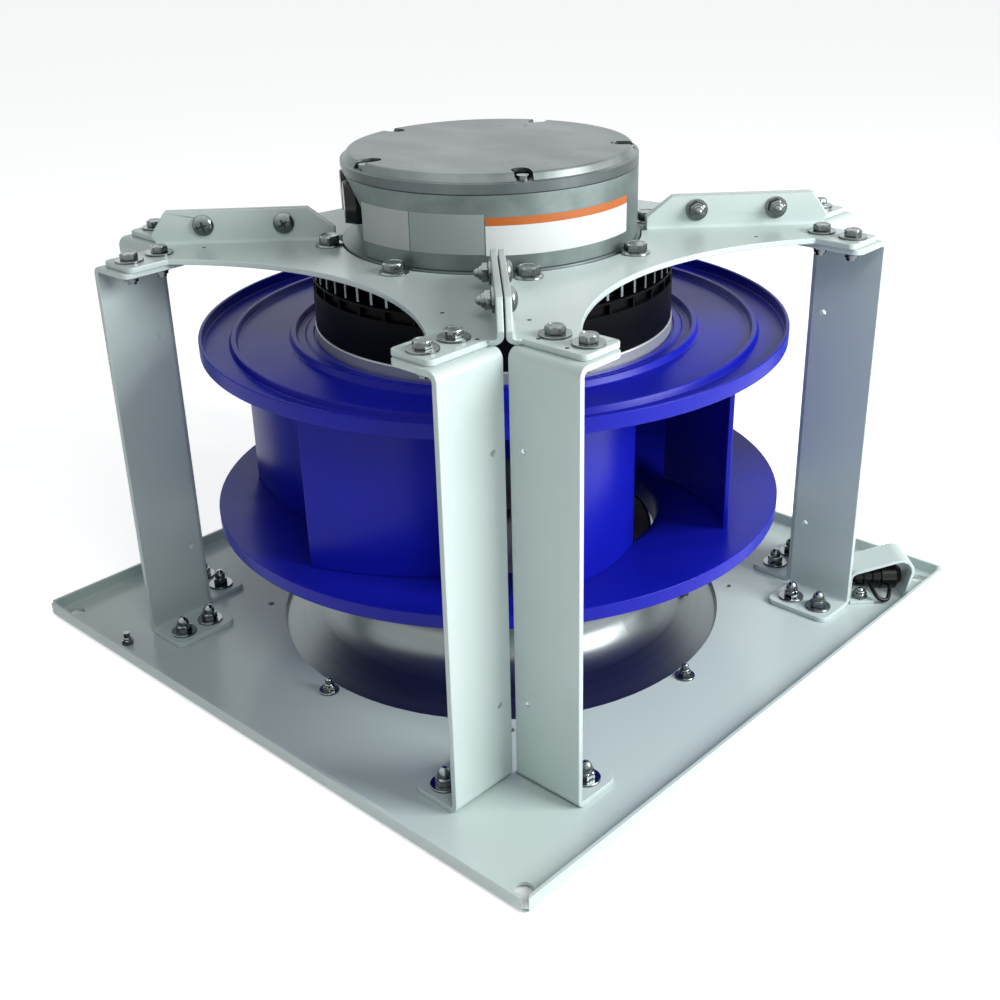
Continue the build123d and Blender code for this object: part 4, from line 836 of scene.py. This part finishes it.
# Printed polyester film: flat colour under a satin laminate, a faint weave of 1 mm from the wall.
# Each has its ground colour and its span: from and to in degrees, foot and head in millimetres.
for film_name, ground, span in (
    ("film_left", "#a0a6a5", (-102.0, -77.2, 389.0, 421.0)),
    ("film_middle", "#879191", (-76.8, -48.9, 389.0, 421.0)),
    ("film_right", "#c4c9c9", (-48.5, 15.0, 388.0, 418.5)),
):
    film, tree = empty_finish("printed_" + film_name)
    place = add_node(tree, "ShaderNodeTexCoord").outputs["Object"]
    weave = add_node(tree, "ShaderNodeTexNoise", {"Vector": place, "Scale": 1 / 0.001, "Detail": 1.0})
    relief = add_node(tree, "ShaderNodeBump",
                      {"Height": weave.outputs["Fac"], "Strength": 0.03, "Distance": 0.0001})
    laminate = add_node(tree, "ShaderNodeBsdfPrincipled",
                        {"Base Color": hex_rgb(ground), "Roughness": 0.38, "IOR": 1.5,
                         "Normal": relief.outputs[0]})
    add_node(tree, "ShaderNodeOutputMaterial", {"Surface": laminate.outputs[0]})
    if film_name == "film_right":
        parts = add_node(tree, "ShaderNodeSeparateXYZ", {"Vector": place})
        band = add_node(tree, "ShaderNodeMapRange",
                        {"Value": parts.outputs["Z"], "From Min": band_from, "From Max": band_from + 0.0001,
                         "To Min": 0.0, "To Max": 1.0})
        tint = add_node(tree, "ShaderNodeMix",
                        {0: band.outputs[0], 6: hex_rgb(ground), 7: hex_rgb("#a8581a")}, data_type="RGBA")
        tree.links.new(tint.outputs[2], laminate.inputs["Base Color"])
    solid(film_name, wall_film(*span), film, "frame")

# Corner bracket, hose fitting and hose
# A bent strap of 3 mm steel, powder coated and held by a locking nut, guards a ringed fitting of
# black nylon at the right corner. A thin rubber hose loops from it over the bracket's foot.
eased("corner_bracket", powder_coat, "frame", edge=0.0006)
bracket_foot_top = tray_top + 3.0
bracket_fixing = joined([
    lock_nut(across=13.0, low=0.0, high=5.6, bore=4.1, collar=2.4),
    stud_end(radius=4.0, low=7.6, high=11.0, pitch=1.25),
])
bracket_places = [standing(275.8, 223.4, bracket_foot_top, 12.0)]
solid("bracket_fixing", repeated(bracket_fixing, bracket_places), zinc_plate, "frame",
      ("bracket_nut",))
dress(black_nylon, "hose_fitting")

# Extruded rubber: deep black with a soft sheen, die lines too fine to show drawn 0.8 mm apart.
rubber = grained_finish("extruded_rubber", 0.0008, ("#070708", "#101112"), 0.1,
                        {"Roughness": 0.35, "IOR": 1.5, "Specular IOR Level": 0.3}, detail=2.0)

# The route, in millimetres, is in the bracket's own frame: outwards from its near leg, sideways
# from its middle and up from the tray.
near_leg, bracket_offset = 341.0, -20.0
outwards, sideways = np.array([1, 1, 0]) / math.sqrt(2), np.array([-1, 1, 0]) / math.sqrt(2)
route = np.array([(23.1, -11.1, 13.8), (24.0, -26.0, 9.5), (31.0, -28.0, 4.0),
                  (39.0, -26.0, 4.0), (42.7, -12.1, 11.0)])
hose_points = ((near_leg + route[:, :1]) * outwards + (bracket_offset + route[:, 1:2]) * sideways
               + (tray_top + route[:, 2:]) * np.array([0, 0, 1])) * 0.001
hose_line = bpy.data.curves.new("hose", "CURVE")
hose_line.dimensions = "3D"
hose_line.bevel_depth = 0.002
hose_line.bevel_resolution = 4
hose_line.resolution_u = 16
hose_line.use_fill_caps = True
spline = hose_line.splines.new("NURBS")
spline.points.add(len(hose_points) - 1)
spline.points.foreach_set("co", np.hstack([hose_points, np.ones((len(hose_points), 1))]).ravel())
spline.order_u = 3
spline.use_endpoint_u = True
hose_line.materials.append(rubber)
hose = bpy.data.objects.new("hose", hose_line)
scene.collection.objects.link(hose)
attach(hose, "frame")
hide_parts("hose_loop")
